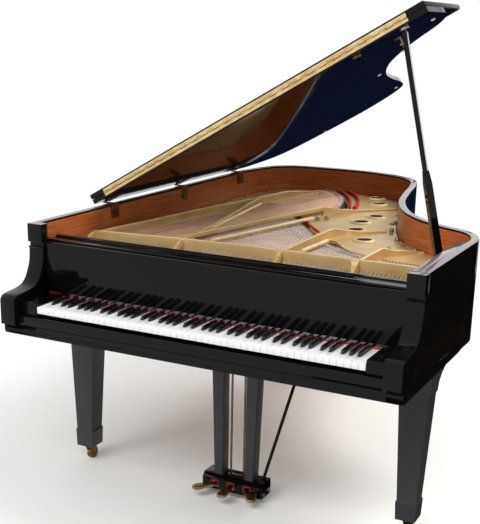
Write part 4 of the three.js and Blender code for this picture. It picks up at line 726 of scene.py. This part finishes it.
def buildPlateRibs():
    look = {"topRound": 4, "webRound": 3, "reach": 128, "cove": 62, "gusset": 11, "highlightAbove": 890,
            "barHeight": 890, "barRadius": 9}
    bm = bmesh.new()
    half = case["halfWidth"] - plate["edgeInset"]
    for shares, low, tops in ribList:
        line = planCurve(shares, 26)
        length = sum((b - a).length for a, b in zip(line, line[1:]))
        part = bmesh.new()
        for vert in slab(part, ribbon(line, plate["ribWidth"]), low, plate["ribTop"]):
            vert.co.z = valueAt(tops, nearestOnChain(Vector(vert.co.xy), line)[1] / length)
        softenEdges(part, look["topRound"], 4, 40, allAbove(low + 3))
        pour(bm, part)
    line = evenPoints([Vector((-half, webLine[0].y))] + webLine + [Vector((half, webLine[3].y))], 60)
    softSlab(bm, ribbon(line, plate["webWidth"]), plate["panelLow"] + 1, plate["ribTop"],
             look["webRound"], allAbove(900))
    # Gussets sweep from the web's top to the pin panel, each with a cove on its bass side
    sweep = [(0, 904), (0.1, 903), (0.3, 893), (0.6, 868), (0.85, 848), (1, 844)]
    for corner in [webLine[0], webLine[1], plan(ribList[4][0][0]), plan(ribList[6][0][0])]:
        fin = bmesh.new()
        profile = [(corner.y - t * look["reach"], z) for t, z in sweep]
        face = fin.faces.new([fin.verts.new((corner.x - look["gusset"] / 2, y, z))
                              for y, z in profile + [(corner.y, 844)]])
        lift(fin, [face], (look["gusset"], 0, 0))
        softenEdges(fin, 2.5, 3, 20, allAbove(845))
        pour(bm, fin)
        if corner.x - look["cove"] < -half:
            continue
        cove = bmesh.new()
        points = [(corner.x, corner.y)]
        for step in range(11):
            t = step / 10
            points.append((corner.x - look["cove"] * (1 - t) ** 2, corner.y - look["reach"] * 0.86 * t ** 2))
        for vert in slab(cove, points, 844, 900):
            vert.co.z = valueAt(sweep, (corner.y - vert.co.y) / look["reach"]) - 0.8
        pour(bm, cove)
    facesOut(bm)
    # Painted highlight on the upward faces of the ribs and web
    paintFaces(bm, 1, lambda normal, centre: normal.z > 0.75 and centre.z > look["highlightAbove"])
    addPiece(bm, "plate_ribs", [goldIron, paleIronAndPaintedHighlight], smoothBelow=40)
    # Round bars that press the strings down beside the struts
    bars = bmesh.new()
    for start, end in (((-388, 850), (-478, 1490)), ((-270, 645), (-129, 1290)), ((103, 655), (112, 880))):
        rod(bars, (*start, look["barHeight"]), (*end, look["barHeight"]), look["barRadius"], 24)
    addPiece(bars, "pressure_bars", paleIronAndPaintedHighlight, smoothBelow=50)


def buildPlateFittings():
    look = {"bolts": [(187, 1478), (231, 1305), (313, 1135), (442, 965), (347, 936), (-109, 1407), (-135, 1368)],
            "felts": [([(-341, 2121), (-264, 2031), (-179, 1871), (-110, 1690)], 870, 888),
                      ([(-318, 2167), (-225, 2058), (-152, 1916), (-98, 1748), (-95, 1701)], 870, 886),
                      ([(-151, 1287), (-90, 1194), (-19, 1103)], 870, 879)]}
    bm = bmesh.new()
    for x, y in look["bolts"]:
        turned(bm, (x, y, plate["deckTop"]),
               [(0.5, 0), (12, 0), (12, 1.6), (9, 2), (8.6, 8), (6.5, 12), (3, 14), (0.5, 14.4)], 16)
    for x, y in outline(plate["edgeInset"] + 24, 760)[6:-6:13]:
        turned(bm, (x, y, plate["deckTop"]), [(0.5, 0), (8.5, 0), (8.5, 2.5), (6, 5), (3, 6), (0.5, 6.2)], 14)
    addPiece(bm, "plate_bolts", plateSteel)
    bm = bmesh.new()
    for points, low, high in look["felts"]:
        softSlab(bm, ribbon(smoothCurve(points, 20), 11), low, high, 2)
    addPiece(bm, "string_felts", redFelt)


buildPlateDeck()
buildPlateRibs()
buildPlateFittings()
print("plate made")


# Strings: copper-wound singles and pairs in the bass, three plain wires to a note above
strings = {"steelHeight": 874.5, "bassHeight": 884.5, "steelRadius": 0.75, "bassRadius": 2.1, "spread": 3.3,
              "pinRows": (112, 74, 36), "pinTop": 862, "singles": 8, "tail": 62, "core": 0.7, "unwound": 40}
longBridge = planCurve([
    (-0.6, 0.765), (-0.45, 0.66), (-0.3, 0.585), (-0.142, 0.51), (-0.066, 0.474), (0.005, 0.44), (0.1, 0.4),
    (0.2, 0.373), (0.335, 0.342), (0.475, 0.319), (0.66, 0.3065), (0.88, 0.3)], 200)
bassBridge = planCurve([
    (-0.57, 0.952), (-0.5, 0.937), (-0.42, 0.904), (-0.304, 0.838), (-0.215, 0.737)], 200)
sections = [(20, bassBridge, (-0.862, -0.556), (0.03, 0.9)), (30, longBridge, (-0.434, 0.048), (0.03, 0.565)),
            (21, longBridge, (0.115, 0.457), (0.6, 0.803)), (17, longBridge, (0.52, 0.868), (0.832, 0.985))]


def webAt(x):
    for a, b in zip(webLine, webLine[1:]):
        if x <= b.x:
            return a.y + (b.y - a.y) * (x - a.x) / (b.x - a.x)
    return webLine[-1].y


def noteList():
    notes = []
    for count, bridge, webSpan, bridgeSpan in sections:
        for i in range(count):
            t = i / (count - 1)
            x = case["halfWidth"] * (webSpan[0] + (webSpan[1] - webSpan[0]) * t)
            place = (bridgeSpan[0] + (bridgeSpan[1] - bridgeSpan[0]) * t) * (len(bridge) - 1)
            low = min(int(place), len(bridge) - 2)
            crossing = bridge[low].lerp(bridge[low + 1], place - low)
            notes.append({"x": x, "crossing": crossing, "bass": bridge is bassBridge, "number": len(notes)})
    return notes


notes = noteList()


def stringsOf(note):
    # The sideways shifts of a note's strings
    if note["bass"]:
        return [0] if note["number"] < strings["singles"] else [-3, 3]
    return [-strings["spread"], 0, strings["spread"]]


def buildStrings():
    wires, wound, pins, hitches = bmesh.new(), bmesh.new(), bmesh.new(), bmesh.new()
    for note in notes:
        height = strings["bassHeight" if note["bass"] else "steelHeight"]
        for i, shift in enumerate(stringsOf(note)):
            front = Vector((note["x"] + shift, webAt(note["x"]) + 5, height))
            crossing = Vector((note["crossing"].x + shift, note["crossing"].y, height))
            along = (crossing - front).normalized()
            end = crossing + along * strings["tail"]
            row = strings["pinRows"][(note["number"] + i) % 3]
            pin = Vector((note["x"] + (i - 1) * 2, webAt(note["x"]) - row, strings["pinTop"]))
            if note["bass"]:
                first, last = front + along * strings["unwound"], crossing + along * 20
                rod(wires, front, first, strings["core"], 4)
                rod(wound, first, last, strings["bassRadius"], 6)
                rod(wires, last, end, strings["core"], 4)
            else:
                rod(wires, front, end, strings["steelRadius"], 4)
            rod(wires, pin - Vector((0, 0, 7)), (front.x, front.y - 10, height - 2), strings["core"], 4)
            rod(pins, pin - Vector((0, 0, 17)), pin, 3.3, 8)
            rod(pins, pin - Vector((0, 0, 11)), pin - Vector((0, 0, 4.4)), 4.7, 10)
            rod(hitches, (end.x, end.y, 866), (end.x + along.x, end.y + along.y, height + 3), 1.8, 8)
            for step in (-11, 11):
                foot = crossing + along * step + Vector((1.4 if step > 0 else -1.4, 0, -1))
                rod(hitches, foot, foot + Vector((0, 0, 4.4)), 0.9, 6)
    addPiece(wires, "plain_strings", musicWire, "case", ["steel_strings"])
    addPiece(wound, "wound_strings", copperWinding, "case", ["bass_strings"])
    # Painted shade: a dark strip over the pin field, standing in for the shadow in front of the web
    strip = bmesh.new()
    for a, b in ((-652, -350), (-338, 56), (68, 355), (367, 650)):
        slab(strip, [(a, webAt(a) - 125), (b, webAt(b) - 125), (b, webAt(b) - 10), (a, webAt(a) - 10)], 845.3, 847)
    addPiece(strip, "pin_bushing_strip", bluedSteelAndPaintedShade)
    addPiece(pins, "tuning_pins_turned", bluedSteelAndPaintedShade, "case", ["tuning_pins"])
    addPiece(hitches, "hitch_and_bridge_pins", plateSteel)


def buildDampers():
    look = {"behindWeb": (12, 36), "width": 8.6, "last": 68}
    felt, heads = bmesh.new(), bmesh.new()
    for note in notes[:look["last"]]:
        low = strings["bassHeight"] + 2.3 if note["bass"] else strings["steelHeight"] + 1
        xs = (note["x"] - look["width"] / 2, note["x"] + look["width"] / 2)
        ys = [webAt(note["x"]) + reach for reach in look["behindWeb"]]
        block(felt, xs, ys, (low, low + 2.6))
        block(heads, xs, ys, (low + 2.6, low + 6))
        middle = sum(ys) / 2
        rod(heads, (note["x"], middle, 848), (note["x"], middle, low + 3), 0.8, 6)
    softenEdges(heads, 0.8, 2, 60)
    addPiece(felt, "damper_felts", whiteFelt, "case", ["dampers"])
    addPiece(heads, "damper_heads", blackLacquer)


def buildSoundboard():
    look = {"bridgesAbove": 843, "capsAbove": 860}
    bm = cadCopy("soundboard")
    softenEdges(bm, 0.8, 2, 40)
    paintFaces(bm, 1, lambda normal, centre: centre.z > look["bridgesAbove"])
    paintFaces(bm, 2, lambda normal, centre: centre.z > look["capsAbove"])
    addPiece(bm, "soundboard_finished", [spruce, maple, greyMaple], "case", ["soundboard"])


buildStrings()
buildDampers()
buildSoundboard()
print("strings made")


# The rest keeps the CAD's shape, with its edges rounded
for name, width in (("key_slip", 2), ("key_block_left", 1.5), ("key_block_right", 1.5), ("desk_rails", 2)):
    refined(name, blackLacquer, width, 3)
bm = cadCopy("prop_block")
softenEdges(bm, 2, 3)
# Painted reflection on the prop block's top faces
paintTopReflection(bm, 1)
addPiece(bm, "prop_block_finished", [blackLacquer, paintedReflectionLacquer], "case", ["prop_block"])
refined("key_bed", blackLacquer, 1.5, 2)
for side in ("front_left", "front_right", "rear"):
    refined(f"leg_{side}", satinLacquer, 2.5, 3)
    refined(f"caster_fork_{side}", agedBrass, 0.8, 2)
    refined(f"caster_wheel_{side}", agedBrass, 1.2, 2)
refined("lyre_frame", satinLacquer, 2, 3)


def buildProp():
    # A lacquered stick, slimmer above its sleeve; one chamfer is coloured pale as a painted highlight
    look = {"base": (654, 558, 945), "tip": (472.97, 575, 1687), "axis": (-0.820265, -0.540294, -0.187743),
            "stick": (10.5, 9.5), "sleeve": (19.5, 13), "sleeveEnds": (-18, 258), "shoulder": 302, "chamfer": 6,
            "tipLength": 10, "tipRadius": 6, "highlightFacing": Vector((0.948, -0.212, 0.236))}
    base, axis = Vector(look["base"]), Vector(look["axis"])
    along = Vector(look["tip"]) - base
    length = along.length
    along.normalize()
    across = along.cross(axis).normalized()
    low, high = look["sleeveEnds"]
    (wide, deep), (broad, thick) = look["stick"], look["sleeve"]
    bm = bmesh.new()
    block(bm, (-wide, wide), (-deep, deep), (look["shoulder"] - 2, length - look["tipLength"]))
    softenEdges(bm, look["chamfer"], 1, 40, lambda e: rise(e) > 1)
    foot = bmesh.new()
    block(foot, (-broad, broad), (-thick, thick), (low, look["shoulder"]))
    bmesh.ops.bisect_plane(foot, geom=foot.verts[:] + foot.edges[:] + foot.faces[:], plane_no=(0, 0, 1),
                           plane_co=(0, 0, high))
    for vert in foot.verts:
        if vert.co.z > high + 1:
            vert.co.x *= wide / broad
            vert.co.y *= deep / thick
    softenEdges(foot, 2.5, 2, 30)
    pour(bm, foot)
    rod(bm, (0, 0, length - look["tipLength"] - 1), (0, 0, length), look["tipRadius"], 20, look["tipRadius"] * 0.8)
    turn = Matrix([across, axis, along]).transposed().to_4x4()
    bmesh.ops.transform(bm, matrix=Matrix.Translation(base) @ turn, verts=bm.verts)
    facesOut(bm)
    # Painted highlight: the chamfer facing this direction gets the pale lacquer
    paintFaces(bm, 1, lambda normal, centre: normal.dot(look["highlightFacing"]) > 0.96)
    addPiece(bm, "prop_stick_finished", [blackLacquer, paintedHighlightLacquer], "prop", ["prop_stick"], smoothBelow=20)


buildProp()
refined("prop_cup_high", plateSteel, 0.8, 2)
refined("prop_cup_low", agedBrass, 0.8, 2)
for name in ("bass_natural_keys", "treble_natural_keys", "key_c4", "key_d4", "key_e4", "key_f4"):
    refined(name, whiteKey, 0.7, 2)
for name in ("bass_sharp_keys", "treble_sharp_keys", "key_c_sharp4", "key_d_sharp4"):
    refined(name, blackKey, 1.4, 3)
print("refined copies made")


# Fallboard with a full round along its top, and the red felt strip that shows behind the sharps
def buildFallboard():
    bm = cadCopy("fallboard")
    softenEdges(bm, 7, 5, 40, lambda e: allAbove(920)(e) and e.calc_length() > 500)
    softenEdges(bm, 1.5, 2, 40, allBelow(915))
    addPiece(bm, "fallboard_finished", blackLacquer, "fallboard", ["fallboard"])
    # The strip shows only between the sharps
    look = {"pitch": 23.5, "half": 611, "clear": 7.6, "y": (148.4, 150), "z": (728.6, 733.5),
            "shifts": {0: 0, 1: 0.17, 3: -0.13, 4: 0.13, 6: -0.17}}
    edges = [-look["half"]]
    for i in range(1, 52):
        shift = look["shifts"].get(i % 7)
        if shift is not None:
            x = -look["half"] + (i + shift) * look["pitch"]
            edges += [x - look["clear"], x + look["clear"]]
    edges.append(look["half"])
    bm = bmesh.new()
    for a, b in zip(edges[::2], edges[1::2]):
        if b - a > 3:
            block(bm, (a, b), look["y"], look["z"])
    addPiece(bm, "key_felt_strip", redFelt)


# Pedals: cast brass, waisted behind and broad at the foot, in slots lined with red felt
pedals = {"rows": {"soft": (-72, -112, 250), "sostenuto": (-4, -4, 232), "sustain": (64, 104, 250)},
             "steps": 44, "roundFrom": 0.88, "boxFront": 322, "root": 372, "low": 36, "high": 48,
             "halfWidths": [(0, 8.5), (0.3, 9), (0.55, 12), (0.8, 18.5), (0.92, 18), (1, 11)]}


def buildPedals():
    steps, roundFrom, front = (pedals[key] for key in ("steps", "roundFrom", "boxFront"))
    for name, (rootX, tipX, tipY) in pedals["rows"].items():
        line = smoothCurve([(rootX, pedals["root"]), (rootX, front), (tipX, tipY + 26),
                            (tipX + (tipX - rootX) * 0.12, tipY)], steps)
        left, right = [], []
        for i, point in enumerate(line):
            share = i / steps
            along = (line[min(i + 1, steps)] - line[max(i - 1, 0)]).normalized()
            rounding = max((share - roundFrom) / (1 - roundFrom), 0)
            width = valueAt(pedals["halfWidths"], share) * sqrt(max(1 - rounding ** 2, 0.02))
            left.append((point.x - along.y * width, point.y + along.x * width))
            right.append((point.x + along.y * width, point.y - along.x * width))
        bm = bmesh.new()
        slab(bm, left + right[::-1], pedals["low"], pedals["high"])
        softenEdges(bm, 4, 4, 40, allAbove(pedals["high"] - 1))
        softenEdges(bm, 2, 2, 40, allBelow(pedals["low"] + 1))
        addPiece(bm, f"pedal_{name}_cast", pedalBrass, f"pedal_{name}", [f"pedal_{name}"])
        felt = bmesh.new()
        for a, b, foot in ((-16, -13, 33), (13, 16, 33), (-16, 16, 57)):
            block(felt, (rootX + a, rootX + b), (front - 0.9, front + 0.4), (foot, 60))
        addPiece(felt, f"pedal_{name}_felt", redFelt)
    bm = cadCopy("pedal_box")
    softenEdges(bm, 4, 4, 40, allAbove(75))
    softenEdges(bm, 1.2, 2, 40, allBelow(74))
    addPiece(bm, "pedal_box_finished", blackLacquer, "case", ["pedal_box"])


buildFallboard()
buildPedals()
print("fallboard and pedals made")

carried = {"inner_rim": maple, "case_braces": spruce, "pin_block": maple, "hammer_action": whiteFelt,
           "prop_bracket": agedBrass, "lyre_brace": blackLacquer}
for name in ("soft", "sostenuto", "sustain"):
    carried[f"pedal_rod_{name}"] = rodBrass
for name, material in carried.items():
    mesh = frame["nodes"][name].data
    mesh.materials.clear()
    mesh.materials.append(material)
print("carried nodes painted")


# Camera, lights and floor
view = {"place": (1590, -2766, 1700), "azimuth": 25.23, "elevation": 17.63, "roll": 1.64,
        "lens": 70.358, "shift": (-0.054, 0.1616)}


def addCamera():
    az, el, roll = (radians(view[key]) for key in ("azimuth", "elevation", "roll"))
    forward = Vector((-sin(az) * cos(el), cos(az) * cos(el), -sin(el)))
    right = Vector((cos(az), sin(az), 0))
    up = right.cross(forward)
    across = right * cos(roll) + up * sin(roll)
    upward = -right * sin(roll) + up * cos(roll)
    turn = Matrix((across, upward, -forward)).transposed().to_4x4()
    lens = bpy.data.cameras.new("photo_camera")
    lens.lens = view["lens"]
    lens.sensor_width = 36
    lens.shift_x, lens.shift_y = view["shift"]
    lens.clip_end = 100
    camera = bpy.data.objects.new("photo_camera", lens)
    camera.matrix_world = Matrix.Translation(toRow @ Vector(view["place"])) @ turn
    scene.collection.objects.link(camera)
    scene.camera = camera


def seenDirectly(tree):
    # 1 for the rays that are shown the white background: camera, glossy and transmission rays
    path = addNode(tree, "LightPath")
    seen = path.outputs["Is Camera Ray"]
    for kind in ("Is Glossy Ray", "Is Transmission Ray"):
        seen = addNode(tree, "Math", {0: seen, 1: path.outputs[kind]}, operation="MAXIMUM").outputs["Value"]
    return seen


def addStudio():
    # Two large frontal lamps, one window to the right and one behind; black cards keep the gloss dark where the
    # photograph's studio was dark
    studio = {"floorColour": "f4f3f1", "floorReach": 30, "floorFade": (1.1, 2.8), "skyStrength": 0.64,
              "lamps": [((-1.6, -4.8, 4.4), 3.0, 130), ((1.0, -4.8, 4.6), 2.6, 72), ((1.2, 6.0, 3.4), 3.0, 160),
                        ((2.6, 0.8, 4.6), 2.4, 150)],
              "cards": [((1.2, 1.35, 0.62), (5.4, 1.24), (90, 90), "120c07"),
                        ((-1.25, 3.2, 0.62), (4.3, 1.24), (0, 90), "10162e"),
                        ((1.7, 0.5, 0.004), (3.0, 5.4), (0, 0), "120c07")]}
    scene.view_settings.view_transform = "Standard"
    world = bpy.data.worlds.new("pale_studio")
    scene.world = world
    world.use_nodes = True
    tree = world.node_tree
    tree.nodes.clear()
    light = addNode(tree, "Background", {"Color": (1, 1, 1, 1), "Strength": studio["skyStrength"]})
    pale = addNode(tree, "Background", {"Color": (1, 1, 1, 1), "Strength": 1})
    both = addNode(tree, "MixShader", {0: seenDirectly(tree), 1: light.outputs["Background"],
                                                 2: pale.outputs["Background"]})
    addNode(tree, "OutputWorld", {"Surface": both.outputs["Shader"]})
    for i, (place, size, power) in enumerate(studio["lamps"]):
        lamp = bpy.data.lights.new(f"soft_lamp_{i}", "AREA")
        lamp.shape = "DISK"
        lamp.size, lamp.energy = size, power
        holder = bpy.data.objects.new(f"soft_lamp_{i}", lamp)
        aim = Vector((0, 0, 0.7)) - Vector(place)
        holder.matrix_world = Matrix.Translation(place) @ aim.to_track_quat("-Z", "Y").to_matrix().to_4x4()
        holder.visible_camera = holder.visible_glossy = False
        scene.collection.objects.link(holder)
    for i, (centre, size, (turn, tilt), colour) in enumerate(studio["cards"]):
        card = startMaterial(f"dark_card_{i}", colour, {"Roughness": 0.9, "Specular IOR Level": 0})[0]
        bm = bmesh.new()
        stand = Matrix.Translation(centre) @ Matrix.Rotation(radians(turn), 4, "Z") \
            @ Matrix.Rotation(radians(tilt), 4, "X") @ Matrix.Diagonal((size[0] / 2, size[1] / 2, 1, 1))
        bmesh.ops.create_grid(bm, x_segments=1, y_segments=1, size=1, matrix=stand)
        holder = newObject(bm, f"card_{i}", [card])
        holder.visible_camera = holder.visible_diffuse = holder.visible_shadow = False
    # Matt paper: near the piano it takes the shadow, and further off it fades into the white background
    material, tree, shader, place = startMaterial("pale_floor", studio["floorColour"], {
        "Roughness": 0.9, "Specular IOR Level": 0.1})
    far = addNode(tree, "VectorMath", {0: place}, operation="LENGTH").outputs["Value"]
    near, away = studio["floorFade"]
    fade = addNode(tree, "MapRange", {"Value": far, "From Min": near, "From Max": away},
                   interpolation_type="SMOOTHSTEP")
    share = addNode(tree, "Math", {0: fade.outputs["Result"], 1: seenDirectly(tree)}, operation="MULTIPLY")
    white = addNode(tree, "Emission", {"Color": (1, 1, 1, 1), "Strength": 1})
    faded = addNode(tree, "MixShader", {0: share.outputs["Value"], 1: shader.outputs["BSDF"],
                                                  2: white.outputs["Emission"]})
    tree.links.new(faded.outputs["Shader"], tree.nodes["Material Output"].inputs["Surface"])
    bm = bmesh.new()
    bmesh.ops.create_grid(bm, x_segments=2, y_segments=2, size=studio["floorReach"])
    newObject(bm, "floor", [material])


addCamera()
addStudio()
print("camera and studio made")
